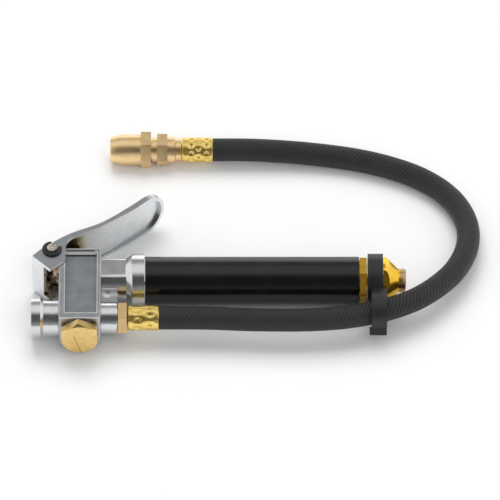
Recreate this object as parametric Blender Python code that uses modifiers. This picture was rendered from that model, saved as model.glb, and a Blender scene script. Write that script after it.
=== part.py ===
"""Portable tire inflator: a cast squeeze valve with a piston gauge in its handle and a short hose.

Units are metres and +Z is up. The tool lies on its side on a flat surface, as it is put down
on a bench. Tool space has X along the handle towards its tail, Y towards the lever and Z up;
its zero is on the handle's axis, level with the mouth of the air inlet.
"""
import math

import bmesh
import bpy
from mathutils import Matrix, Vector

MM = 0.001

# Clearances
GAP = 0.3 * MM                    # between faces that seat on each other
SLIP = 0.35 * MM                  # round a sliding or turning piece

# Cast valve body
BODY_LEFT = 15.5 * MM
BODY_WIDTH = 23.0 * MM
BODY_HALF_DEPTH = 10.5 * MM
BODY_TOP = 14.8 * MM
BODY_BOTTOM = -39.4 * MM
BODY_EDGE = 0.8 * MM
PANEL_LEFT_RIM = 3.4 * MM
PANEL_RIGHT_RIM = 2.3 * MM
PANEL_TOP_RIM = 3.5 * MM
PANEL_BOTTOM_RIM = 4.5 * MM
PANEL_DEPTH = 2.0 * MM
NECK_R = 12.2 * MM
NECK_LENGTH = 13.5 * MM
NECK_INSET = 0.1 * MM             # of the neck's flats behind the body's sides
COLLAR_WALL = 1.8 * MM            # round the handle
COLLAR_FLARE = 3.0 * MM
COLLAR_LENGTH = 10.7 * MM
PORT_Y = -28.9 * MM               # axis of the air inlet and of the hose outlet
INLET_FLANGE_R = 11.4 * MM
INLET_FLANGE_LENGTH = 5.5 * MM
INLET_BOSS_R = 10.2 * MM
INLET_BORE_R = 6.3 * MM
INLET_BORE_DEPTH = 13.5 * MM
INLET_PASSAGE_R = 3.0 * MM
OUTLET_BOSS_R = 8.7 * MM
OUTLET_BOSS_LENGTH = 9.2 * MM
OUTLET_BORE_DEPTH = 8.5 * MM
RIB_HALF_WIDTH = 2.6 * MM
RIB_PASSAGE_R = 1.4 * MM
RIB_MARK_R = 2.0 * MM
RIB_MARK_DEPTH = 0.5 * MM
LUG_R = 5.2 * MM
LUG_HALF_WIDTH = 7.5 * MM

# Valve inside the body
CHAMBER_R = 6.3 * MM
SEAT_Y = -18.0 * MM
SEAT_THICKNESS = 3.0 * MM
SEAT_BORE_R = 3.4 * MM
UPPER_CHAMBER_R = 4.2 * MM
UPPER_CHAMBER_TOP = 6.0 * MM
GAUGE_PASSAGE_R = 2.6 * MM
STEM_R = 1.6 * MM
BUSH_SHANK_R = 3.6 * MM
BUSH_FLANGE_R = 5.0 * MM
BUSH_FLANGE_THICKNESS = 1.8 * MM
RING_MINOR_R = 0.7 * MM
SEAL_R = 5.3 * MM
SEAL_THICKNESS = 1.6 * MM
POPPET_THICKNESS = 3.0 * MM
POPPET_BOSS_R = 2.4 * MM
POPPET_BOSS_LENGTH = 3.0 * MM
VALVE_SPRING_R = 3.7 * MM
VALVE_SPRING_WIRE_R = 0.5 * MM
VALVE_SPRING_TURNS = 5
WASHER_R = 9.2 * MM
WASHER_THICKNESS = 0.8 * MM
PLUG_FLATS = 19.6 * MM
PLUG_HEAD = 5.0 * MM
PLUG_CHAMFER = 1.2 * MM
PLUG_SHANK = 8.0 * MM
PLUG_CUP_R = 4.7 * MM
PLUG_CUP_DEPTH = 6.5 * MM

# Lever and its pivot
PIVOT_X = 11.6 * MM
PIVOT_Y = 11.2 * MM
PIN_R = 2.9 * MM
PIN_HEAD_R = 4.6 * MM
PIN_HEAD_THICKNESS = 1.0 * MM
PIN_END = 1.1 * MM                # how far the pin stands proud of its clip
CLIP_RING_R = 5.4 * MM
CLIP_RING_THICKNESS = 0.8 * MM
CLIP_RING_OPENING = math.radians(75)
CLIP_RING_OPENS_AT = math.radians(58)
LEVER_WALL = 2.0 * MM
LEVER_PLATE = 1.6 * MM
LEVER_TOP = [(0.8, 6.4), (6.3, 12.5), (11.5, 16.6), (19.3, 22.4), (24.6, 25.4), (30.8, 28.3),
             (37.9, 31.9), (46.0, 37.9), (55.1, 45.7), (61.2, 51.4), (66.5, 56.6), (73.0, 63.4)]
LEVER_UNDER = [(73.0, 58.0), (61.2, 46.9), (55.1, 41.3), (46.0, 34.6), (37.9, 29.0),
               (30.8, 25.4), (26.0, 22.9), (22.2, 20.8), (19.9, 17.6), (19.0, 14.0)]
LEVER_EAR = [(19.0, 3.6), (10.6, -4.0)]
LEVER_NOSE_END_X = 7.0 * MM
LEVER_OPEN_TOP_X = 15.2 * MM
PADDLE_ANGLE = math.radians(42)
PADDLE_CENTRE = (61.2, 51.4)

# Handle with the gauge
HANDLE_R = 13.1 * MM
HANDLE_WALL = 1.9 * MM
HANDLE_LENGTH = 117.4 * MM        # from the collar's mouth
SOCKET_DEPTH = 6.8 * MM
GLAND_SPIGOT_R = 4.8 * MM
GLAND_SPIGOT_LENGTH = 8.0 * MM
GLAND_LENGTH = 7.0 * MM
CYLINDER_R = 6.2 * MM
CYLINDER_WALL = 1.1 * MM
GAUGE_STROKE = 32.0 * MM
CYLINDER_LENGTH = GAUGE_STROKE + 8.0 * MM
PISTON_LENGTH = 4.0 * MM
PISTON_ROD_R = 1.5 * MM
DRUM_LENGTH = 12.0 * MM
DRUM_WALL = 1.2 * MM
GAUGE_SPRING_R = 6.0 * MM
GAUGE_SPRING_WIRE_R = 0.55 * MM
GAUGE_SPRING_TURNS = 12
WINDOW_START = 108.0 * MM
WINDOW_LENGTH = 46.0 * MM
WINDOW_WIDTH = 8.0 * MM
LENS_THICKNESS = 1.5 * MM

# Tail of the handle
TAIL_FLATS = 22.4 * MM
TAIL_COLLAR_LENGTH = 3.8 * MM
TAIL_SPIGOT_LENGTH = 8.0 * MM
TAIL_BORE_R = 4.0 * MM
CAP_BARREL_R = 11.8 * MM
CAP_BARREL_LENGTH = 8.9 * MM
CAP_HEX_LENGTH = 2.2 * MM
CAP_CONE_LENGTH = 6.2 * MM
CAP_END_R = 6.4 * MM
CAP_END_LENGTH = 0.8 * MM
CAP_SPIGOT_R = 3.6 * MM
BUTTON_R = 6.5 * MM
BUTTON_LENGTH = 2.8 * MM
STRAP_WALL = 2.6 * MM
STRAP_WIDTH = 8.4 * MM
HOOK_SHIFT = 2.05 * MM            # of the hook along the tool from the strap's ring
HOOK_WALL = 1.7 * MM
HOOK_SLACK = 2.3 * MM             # room round the hose, which crosses the hook at a slant
HOOK_Y = -23.6 * MM
HOOK_OPENING = math.radians(95)
HOOK_OPENS_AT = math.radians(262.5)
HOOK_TAB = [(-11.4, 6.8), (-20.3, 9.8), (-20.9, 7.9), (-12.0, 4.9)]
HOOK_LIP = [(-32.9, -4.2), (-34.4, -7.9), (-33.0, -8.9), (-31.2, -4.6)]

# Hose and its fittings
HOSE_R = 6.35 * MM
BARB_R = 2.9 * MM
BARB_LENGTH = 15.0 * MM
FITTING_BORE_R = 1.6 * MM
NIPPLE_SHANK_R = 4.7 * MM
NIPPLE_FLATS = 16.6 * MM
NIPPLE_HEX = 4.8 * MM
NIPPLE_GROOVE_R = 4.9 * MM
NIPPLE_GROOVE = 0.6 * MM
FERRULE_R = 6.9 * MM
FERRULE_LENGTH = 16.9 * MM
FERRULE_DENT = 0.45 * MM
FERRULE_SIDES = 8

# Chuck at the hose's far end
CHUCK_MOUTH_X = 42.7 * MM
CHUCK_NOSE_R = 6.85 * MM
CHUCK_TAPER = 6.1 * MM
CHUCK_R = 8.45 * MM
CHUCK_BARREL = 10.9 * MM
CHUCK_FLATS = 18.0 * MM
CHUCK_HEX = 5.6 * MM
CHUCK_MOUTH_R = 4.4 * MM
CHUCK_MOUTH_DEPTH = 8.0 * MM
CHUCK_BORE_R = 6.0 * MM
GASKET_THICKNESS = 3.2 * MM
GASKET_HOLE_R = 2.3 * MM
SPIDER_THICKNESS = 1.8 * MM
SPIDER_PIN_R = 0.9 * MM
SPIDER_PIN_LENGTH = 6.6 * MM
ADAPTER_NECK = 0.8 * MM
ADAPTER_STEP = 2.6 * MM
ADAPTER_STEP_R = 6.75 * MM
ADAPTER_FLATS = 15.8 * MM
ADAPTER_HEX = 5.7 * MM
ADAPTER_TAIL_R = 7.25 * MM
ADAPTER_TAIL = 4.1 * MM
ADAPTER_BORE_R = 4.6 * MM
ADAPTER_BORE = 8.0 * MM
TAILPIECE_RING_R = 6.3 * MM
TAILPIECE_RING = 3.2 * MM

# Where the tool lies: it rests on the collar, the strap and the chuck's hexagon.
COLLAR_R = HANDLE_R + COLLAR_WALL
AXIS_HEIGHT = COLLAR_R
ORIGIN_X = 102.85 * MM
ORIGIN_Y = 7.3 * MM
CHUCK_HEIGHT = CHUCK_FLATS / 2
CHUCK_Y = 108.2 * MM

# The hose's route from the nipple's ferrule through the hook and round to the chuck,
# in millimetres: X and Y in tool space, then the height above the surface.
HOSE_ROUTE = [
    (84.0, -28.9, 14.9), (101.0, -29.2, 14.9), (117.5, -30.1, 14.9), (134.0, -30.5, 14.9),
    (150.5, -30.4, 14.9), (166.0, -29.3, 14.9), (175.5, -27.8, 14.9), (183.4, -26.0, 14.9),
    (191.0, -23.6, 14.8), (200.0, -19.9, 14.4), (212.0, -12.6, 13.6), (223.2, -2.0, 12.6),
    (232.8, 11.5, 11.2), (239.2, 28.6, 9.8), (240.4, 45.5, 8.6), (236.5, 61.6, 7.6),
    (227.7, 76.1, 7.0), (213.9, 88.2, 6.7), (197.3, 96.7, 6.6), (180.0, 102.4, 6.6),
    (162.0, 105.8, 6.9), (144.0, 107.5, 7.7), (127.0, 108.1, 8.6), (113.5, 108.2, 9.0)]
HOSE_SEGMENTS = 64
STRAIGHT_RUN = 4.0 * MM

SEGMENTS_LARGE = 48
SEGMENTS_MEDIUM = 32
SEGMENTS_SMALL = 20

# Places that follow from the sizes above
BODY_RIGHT = BODY_LEFT + BODY_WIDTH
VALVE_X = BODY_LEFT + BODY_WIDTH / 2
NECK_END = BODY_RIGHT + NECK_LENGTH
COLLAR_END = NECK_END + COLLAR_LENGTH
SOCKET_FLOOR = COLLAR_END - SOCKET_DEPTH
TUBE_START = SOCKET_FLOOR + GAP
TUBE_END = COLLAR_END + HANDLE_LENGTH
TUBE_BORE_R = HANDLE_R - HANDLE_WALL
LEVER_HALF_WIDTH = BODY_HALF_DEPTH + GAP + LEVER_WALL
OUTLET_END = BODY_RIGHT + OUTLET_BOSS_LENGTH
HEX_START = OUTLET_END + GAP
FERRULE_START = HEX_START + NIPPLE_HEX + NIPPLE_GROOVE
FERRULE_END = FERRULE_START + FERRULE_LENGTH
GLAND_END = SOCKET_FLOOR + GAP + GLAND_LENGTH
CYLINDER_START = GLAND_END + GAP
CYLINDER_END = CYLINDER_START + CYLINDER_LENGTH
PISTON_START = CYLINDER_START + 3 * MM
DRUM_START = CYLINDER_END + 3 * MM
DRUM_END = DRUM_START + DRUM_LENGTH
TAIL_SPIGOT_START = TUBE_END - TAIL_SPIGOT_LENGTH
TAIL_COLLAR_START = TUBE_END + GAP
TAIL_COLLAR_END = TAIL_COLLAR_START + TAIL_COLLAR_LENGTH
CAP_START = TAIL_COLLAR_END + GAP
CAP_HEX_START = CAP_START + CAP_BARREL_LENGTH
CAP_CONE_START = CAP_HEX_START + CAP_HEX_LENGTH
CAP_CONE_END = CAP_CONE_START + CAP_CONE_LENGTH
CAP_END = CAP_CONE_END + CAP_END_LENGTH
STRAP_X = CAP_START + CAP_BARREL_LENGTH / 2
HOOK_X = STRAP_X + HOOK_SHIFT
CHUCK_HEX_START = CHUCK_MOUTH_X + CHUCK_TAPER + CHUCK_BARREL
CHUCK_HEX_END = CHUCK_HEX_START + CHUCK_HEX
CHUCK_BORE_START = CHUCK_MOUTH_X + CHUCK_MOUTH_DEPTH
GASKET_START = CHUCK_BORE_START + GAP
SPIDER_START = GASKET_START + GASKET_THICKNESS + GAP
ADAPTER_START = SPIDER_START + SPIDER_THICKNESS + GAP
ADAPTER_STEP_START = CHUCK_HEX_END + ADAPTER_NECK
ADAPTER_HEX_START = ADAPTER_STEP_START + ADAPTER_STEP
ADAPTER_HEX_END = ADAPTER_HEX_START + ADAPTER_HEX
ADAPTER_END = ADAPTER_HEX_END + ADAPTER_TAIL
TAILPIECE_START = ADAPTER_END - ADAPTER_BORE + GAP
TAILPIECE_RING_START = ADAPTER_END + GAP
CHUCK_FERRULE_START = TAILPIECE_RING_START + TAILPIECE_RING + NIPPLE_GROOVE
CHUCK_FERRULE_END = CHUCK_FERRULE_START + FERRULE_LENGTH
CHUCK_Z = CHUCK_HEIGHT - AXIS_HEIGHT

for old in list(bpy.data.objects):
    bpy.data.objects.remove(old, do_unlink=True)

PARTS = bpy.data.collections.new("tire_inflator")
CUTTERS = bpy.data.collections.new("cutters")
bpy.context.scene.collection.children.link(PARTS)
bpy.context.scene.collection.children.link(CUTTERS)

tool_frame = bpy.data.objects.new("tool_frame", None)
tool_frame.location = (-ORIGIN_X, -ORIGIN_Y, AXIS_HEIGHT)
PARTS.objects.link(tool_frame)

AXES = {
    "X": Matrix.Rotation(math.radians(90), 4, "Y"),
    "Y": Matrix.Rotation(math.radians(-90), 4, "X"),
    "Z": Matrix.Identity(4)}
ACROSS = Matrix(((0, 0, 1, 0), (1, 0, 0, 0), (0, 1, 0, 0), (0, 0, 0, 1)))


# ---------------------------------------------------------------- materials

def material(name, colour, roughness, metallic):
    """A Principled material of one finish, made once."""
    if name in bpy.data.materials:
        return bpy.data.materials[name]
    finish = bpy.data.materials.new(name)
    finish.use_nodes = True
    shader = finish.node_tree.nodes["Principled BSDF"]
    shader.inputs["Base Color"].default_value = (*colour, 1.0)
    shader.inputs["Roughness"].default_value = roughness
    shader.inputs["Metallic"].default_value = metallic
    finish.diffuse_color = (*colour, 1.0)
    return finish


def plated_zinc():
    return material("plated_zinc", (0.62, 0.64, 0.66), 0.25, 1.0)


def brass():
    return material("brass", (0.78, 0.55, 0.24), 0.28, 1.0)


def yellow_brass():
    return material("yellow_brass", (0.83, 0.62, 0.13), 0.22, 1.0)


def gold_finish():
    return material("gold_finish", (0.90, 0.55, 0.06), 0.2, 1.0)


def steel():
    return material("steel", (0.60, 0.59, 0.56), 0.35, 1.0)


def black_steel():
    return material("black_steel", (0.03, 0.03, 0.03), 0.4, 1.0)


def black_tube():
    return material("black_tube", (0.012, 0.012, 0.013), 0.32, 0.0)


def hose_rubber():
    return material("hose_rubber", (0.022, 0.022, 0.023), 0.55, 0.0)


def seal_rubber():
    return material("seal_rubber", (0.02, 0.02, 0.02), 0.7, 0.0)


def strap_plastic():
    return material("strap_plastic", (0.018, 0.02, 0.022), 0.45, 0.0)


def clear_plastic():
    return material("clear_plastic", (0.85, 0.88, 0.88), 0.08, 0.0)


def white_plastic():
    return material("white_plastic", (0.82, 0.80, 0.74), 0.4, 0.0)


# ---------------------------------------------------------------- modelling helpers

def place(name, mesh, finish, matrix):
    """Link a mesh as a part in tool space."""
    part = bpy.data.objects.new(name, mesh)
    part.parent = tool_frame
    part.matrix_local = matrix
    if finish is None:
        CUTTERS.objects.link(part)
        part.hide_render = True
        part.display_type = "WIRE"
    else:
        PARTS.objects.link(part)
        mesh.materials.append(finish)
        mesh.shade_smooth()
        mesh.set_sharp_from_angle(angle=math.radians(32))
    return part


def mesh_of(shape, name):
    mesh = bpy.data.meshes.new(name)
    shape.to_mesh(mesh)
    shape.free()
    return mesh


def turned(name, profile, finish=None, axis="X", at=(0, 0, 0), segments=SEGMENTS_LARGE):
    """Revolve (place along the axis, radius) pairs, listed from the far end down the outside."""
    shape = bmesh.new()
    points = [shape.verts.new((radius, 0, along)) for along, radius in profile]
    for first, second in zip(points, points[1:]):
        shape.edges.new((first, second))
    if profile[0][1] > 0:
        shape.edges.new((points[-1], points[0]))
    part = place(name, mesh_of(shape, name), finish, Matrix.Translation(at) @ AXES[axis])
    screw = part.modifiers.new("turned", "SCREW")
    screw.angle = math.tau
    screw.steps = segments
    screw.render_steps = segments
    screw.use_merge_vertices = True
    screw.merge_threshold = 0.00001
    screw.use_smooth_shade = finish is not None
    return part


def rod(name, start, end, radius, finish=None, axis="X", at=(0, 0, 0), segments=SEGMENTS_MEDIUM):
    """A plain cylinder between two places along an axis."""
    shape = bmesh.new()
    bmesh.ops.create_cone(shape, cap_ends=True, segments=segments, radius1=radius,
                          radius2=radius, depth=end - start,
                          matrix=Matrix.Translation((0, 0, (start + end) / 2)))
    return place(name, mesh_of(shape, name), finish, Matrix.Translation(at) @ AXES[axis])


def hexagon(name, start, end, flats, finish=None, axis="X", at=(0, 0, 0), turn=0.0):
    """A hexagonal prism; with no turn a flat faces down."""
    shape = bmesh.new()
    bmesh.ops.create_cone(shape, cap_ends=True, segments=6, radius1=flats / math.sqrt(3),
                          radius2=flats / math.sqrt(3), depth=end - start,
                          matrix=Matrix.Translation((0, 0, (start + end) / 2)))
    matrix = Matrix.Translation(at) @ AXES[axis] @ Matrix.Rotation(turn, 4, "Z")
    return place(name, mesh_of(shape, name), finish, matrix)


def block(name, low, high, finish=None, edge=0.0):
    """A box between two corners, with optional rounded edges."""
    shape = bmesh.new()
    bmesh.ops.create_cube(shape, size=1.0)
    size = [top - bottom for bottom, top in zip(low, high)]
    bmesh.ops.scale(shape, vec=size, verts=shape.verts)
    centre = [(top + bottom) / 2 for bottom, top in zip(low, high)]
    part = place(name, mesh_of(shape, name), finish, Matrix.Translation(centre))
    if edge:
        bevel = part.modifiers.new("edges", "BEVEL")
        bevel.width = edge
        bevel.segments = 2
    return part


def plate(name, outline, low, high, finish=None, matrix=Matrix.Identity(4)):
    """A flat outline, listed anticlockwise, raised between two heights."""
    shape = bmesh.new()
    face = shape.faces.new([shape.verts.new((x, y, low)) for x, y in outline])
    face.normal_update()
    raised = bmesh.ops.extrude_face_region(shape, geom=[face])
    top = [item for item in raised["geom"] if isinstance(item, bmesh.types.BMVert)]
    bmesh.ops.translate(shape, vec=(0, 0, high - low), verts=top)
    bmesh.ops.recalc_face_normals(shape, faces=shape.faces)
    return place(name, mesh_of(shape, name), finish, matrix)


def arc(centre, radius, start, end, steps):
    """Points on an arc, both ends included."""
    angles = [start + (end - start) * step / steps for step in range(steps + 1)]
    return [(centre[0] + radius * math.cos(a), centre[1] + radius * math.sin(a)) for a in angles]


def combine(part, other, operation):
    boolean = part.modifiers.new(other.name, "BOOLEAN")
    boolean.operation = operation
    boolean.solver = "EXACT"
    boolean.object = other
    return part


def add(part, *others):
    for other in others:
        combine(part, other, "UNION")
    return part


def cut(part, *others):
    for other in others:
        combine(part, other, "DIFFERENCE")
    return part


def keep_inside(part, other):
    return combine(part, other, "INTERSECT")


def smooth_line(points, steps):
    """A smooth curve through the given points, sampled the same number of times per span."""
    padded = [2 * points[0] - points[1], *points, 2 * points[-1] - points[-2]]
    line = []
    for before, first, second, after in zip(padded, padded[1:], padded[2:], padded[3:]):
        for step in range(steps):
            t = step / steps
            line.append(0.5 * (2 * first + (second - before) * t
                               + (2 * before - 5 * first + 4 * second - after) * t ** 2
                               + (3 * first - before - 3 * second + after) * t ** 3))
    line.append(points[-1])
    return line


def even_points(line, count):
    """The same line with its points at even spacing."""
    lengths = [0.0]
    for first, second in zip(line, line[1:]):
        lengths.append(lengths[-1] + (second - first).length)
    result, span = [], 0
    for index in range(count):
        target = lengths[-1] * index / (count - 1)
        while span < len(line) - 2 and lengths[span + 1] < target:
            span += 1
        share = (target - lengths[span]) / (lengths[span + 1] - lengths[span])
        result.append(line[span].lerp(line[span + 1], share))
    return result


def tube(name, points, radius, finish, resolution):
    """A round tube along a line, with closed ends."""
    curve = bpy.data.curves.new(name, "CURVE")
    curve.dimensions = "3D"
    spline = curve.splines.new("POLY")
    spline.points.add(len(points) - 1)
    for slot, point in zip(spline.points, points):
        slot.co = (*point, 1.0)
    curve.bevel_depth = radius
    curve.bevel_resolution = resolution
    curve.use_fill_caps = True
    curve.materials.append(finish)
    part = bpy.data.objects.new(name, curve)
    part.parent = tool_frame
    PARTS.objects.link(part)
    return part


def coil(name, start, end, radius, wire_r, turns, axis, at, finish):
    """A compression spring as one unbroken wire."""
    steps = 9
    matrix = Matrix.Translation(at) @ AXES[axis]
    points = []
    for step in range(turns * steps + 1):
        angle = math.tau * step / steps
        along = start + wire_r + (end - start - 2 * wire_r) * step / (turns * steps)
        points.append(matrix @ Vector((radius * math.cos(angle), radius * math.sin(angle), along)))
    least = min((first - second).length for index, first in enumerate(points)
                for second in points[index + steps // 2:])
    print(f"{name}: least gap to itself {(least - 2 * wire_r) / MM:.2f} mm")
    return tube(name, points, wire_r, finish, 1)


# ---------------------------------------------------------------- cast valve body

def build_valve_body():
    port = (0, PORT_Y, 0)
    body = block("valve_body", (BODY_LEFT, BODY_BOTTOM, -BODY_HALF_DEPTH),
                 (BODY_RIGHT, BODY_TOP, BODY_HALF_DEPTH), plated_zinc(), BODY_EDGE)

    half = BODY_HALF_DEPTH - NECK_INSET
    first = math.pi / SEGMENTS_LARGE
    sides = [(max(-half, min(half, z)), y)
             for z, y in arc((0, 0), NECK_R, first, first + math.tau, SEGMENTS_LARGE)[:-1]]
    sides = [point for index, point in enumerate(sides)
             if (Vector(point) - Vector(sides[index - 1])).length > 0.05 * MM]
    towards_tail = Matrix(((0, 0, 1, 0), (0, 1, 0, 0), (-1, 0, 0, 0), (0, 0, 0, 1)))
    neck = plate("neck", sides, BODY_RIGHT - 2 * MM, NECK_END + 1 * MM, matrix=towards_tail)
    collar = turned("collar", [
        (COLLAR_END, 0), (COLLAR_END, COLLAR_R - 0.4 * MM), (COLLAR_END - 0.4 * MM, COLLAR_R),
        (NECK_END + COLLAR_FLARE + 1.2 * MM, COLLAR_R),
        (NECK_END + COLLAR_FLARE, COLLAR_R - 0.5 * MM), (NECK_END, NECK_R - 0.4 * MM),
        (NECK_END, 0)])
    inlet = turned("inlet_boss", [
        (BODY_LEFT + 2 * MM, 0), (BODY_LEFT + 2 * MM, INLET_BOSS_R),
        (INLET_FLANGE_LENGTH + 1.6 * MM, INLET_BOSS_R),
        (INLET_FLANGE_LENGTH, INLET_FLANGE_R), (0.6 * MM, INLET_FLANGE_R),
        (0, INLET_FLANGE_R - 0.6 * MM), (0, 0)], at=port)
    outlet = turned("outlet_boss", [
        (OUTLET_END, 0), (OUTLET_END, OUTLET_BOSS_R - 0.4 * MM),
        (OUTLET_END - 0.4 * MM, OUTLET_BOSS_R), (BODY_RIGHT - 2 * MM, OUTLET_BOSS_R),
        (BODY_RIGHT - 2 * MM, 0)], at=port)
    rib = block("rib", (BODY_RIGHT - 1 * MM, PORT_Y + OUTLET_BOSS_R - 1.5 * MM, -RIB_HALF_WIDTH),
                (OUTLET_END - 0.2 * MM, -NECK_R + 1.5 * MM, RIB_HALF_WIDTH))
    lug_outline = arc((PIVOT_X, PIVOT_Y), LUG_R, math.radians(80), math.radians(245), 14)
    lug_outline += [(BODY_LEFT + 1.5 * MM, PIVOT_Y - LUG_R - 2 * MM),
                    (BODY_LEFT + 1.5 * MM, BODY_TOP - 0.9 * MM)]
    lug = plate("lug", lug_outline, -LUG_HALF_WIDTH, LUG_HALF_WIDTH)
    add(body, neck, collar, inlet, outlet, rib, lug)

    for side, name in ((1, "near_panel"), (-1, "far_panel")):
        depths = sorted((side * (BODY_HALF_DEPTH - PANEL_DEPTH), side * (BODY_HALF_DEPTH + 2 * MM)))
        cut(body, block(name, (BODY_LEFT + PANEL_LEFT_RIM, BODY_BOTTOM + PANEL_BOTTOM_RIM, depths[0]),
                        (BODY_RIGHT - PANEL_RIGHT_RIM, BODY_TOP - PANEL_TOP_RIM, depths[1])))
    mark_y = (PORT_Y + OUTLET_BOSS_R - NECK_R) / 2 + 2.2 * MM
    mark = rod("rib_mark", RIB_HALF_WIDTH - RIB_MARK_DEPTH, RIB_HALF_WIDTH + 2 * MM, RIB_MARK_R,
               axis="Z", at=((BODY_RIGHT + OUTLET_END) / 2 - 1.2 * MM, mark_y, 0),
               segments=SEGMENTS_SMALL)

    socket = rod("handle_socket", SOCKET_FLOOR, COLLAR_END + 2 * MM, HANDLE_R + GAP,
                 segments=SEGMENTS_LARGE)
    spigot_bore = rod("spigot_bore", SOCKET_FLOOR - GLAND_SPIGOT_LENGTH - GAP,
                      SOCKET_FLOOR + 1 * MM, GLAND_SPIGOT_R + GAP)
    gauge_passage = rod("gauge_passage", VALVE_X, SOCKET_FLOOR - GLAND_SPIGOT_LENGTH,
                        GAUGE_PASSAGE_R, segments=SEGMENTS_SMALL)
    down = rod("rib_passage", PORT_Y + 1.7 * MM, -GAUGE_PASSAGE_R / 2, RIB_PASSAGE_R, axis="Y",
               at=(BODY_RIGHT + 2.4 * MM, 0, 0), segments=12)
    inlet_bore = turned("inlet_bore", [
        (INLET_BORE_DEPTH, 0), (INLET_BORE_DEPTH, INLET_BORE_R - 0.5 * MM),
        (1.0 * MM, INLET_BORE_R), (-1 * MM, INLET_BORE_R + 2 * MM), (-1 * MM, 0)],
        at=port, segments=SEGMENTS_MEDIUM)
    inlet_passage = rod("inlet_passage", INLET_BORE_DEPTH - 1 * MM, VALVE_X, INLET_PASSAGE_R,
                        at=port, segments=SEGMENTS_SMALL)
    outlet_bore = rod("outlet_bore", OUTLET_END - OUTLET_BORE_DEPTH, OUTLET_END + 2 * MM,
                      NIPPLE_SHANK_R + GAP, at=port)
    above_plug = (VALVE_X, 0, 0)
    chamber = rod("chamber", BODY_BOTTOM - 2 * MM, SEAT_Y, CHAMBER_R, axis="Y", at=above_plug)
    seat_bore = rod("seat_bore", SEAT_Y - 1 * MM, SEAT_Y + SEAT_THICKNESS + 1 * MM, SEAT_BORE_R,
                    axis="Y", at=above_plug, segments=SEGMENTS_SMALL)
    upper = rod("upper_chamber", SEAT_Y + SEAT_THICKNESS, UPPER_CHAMBER_TOP, UPPER_CHAMBER_R,
                axis="Y", at=above_plug)
    bush_bore = rod("bush_bore", UPPER_CHAMBER_TOP - 1 * MM, BODY_TOP + 2 * MM,
                    BUSH_SHANK_R + GAP, axis="Y", at=above_plug)
    pin_bore = rod("pin_bore", -LUG_HALF_WIDTH - 2 * MM, LUG_HALF_WIDTH + 2 * MM, PIN_R + GAP,
                   axis="Z", at=(PIVOT_X, PIVOT_Y, 0), segments=SEGMENTS_SMALL)
    cut(body, mark, socket, spigot_bore, gauge_passage, down, inlet_bore, inlet_passage,
        outlet_bore, chamber, seat_bore, upper, bush_bore, pin_bore)
    return body


# ---------------------------------------------------------------- valve inside the body

def lever_underside(x):
    """Height and slope of the lever plate's underside above a place along the tool."""
    for (x1, y1), (x2, y2) in zip(LEVER_TOP, LEVER_TOP[1:]):
        if x1 * MM <= x < x2 * MM:
            slope = (y2 - y1) / (x2 - x1)
            height = y1 * MM + slope * (x - x1 * MM)
            return height - LEVER_PLATE * math.hypot(1, slope), slope
    raise ValueError("the stem lies outside the lever")


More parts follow.
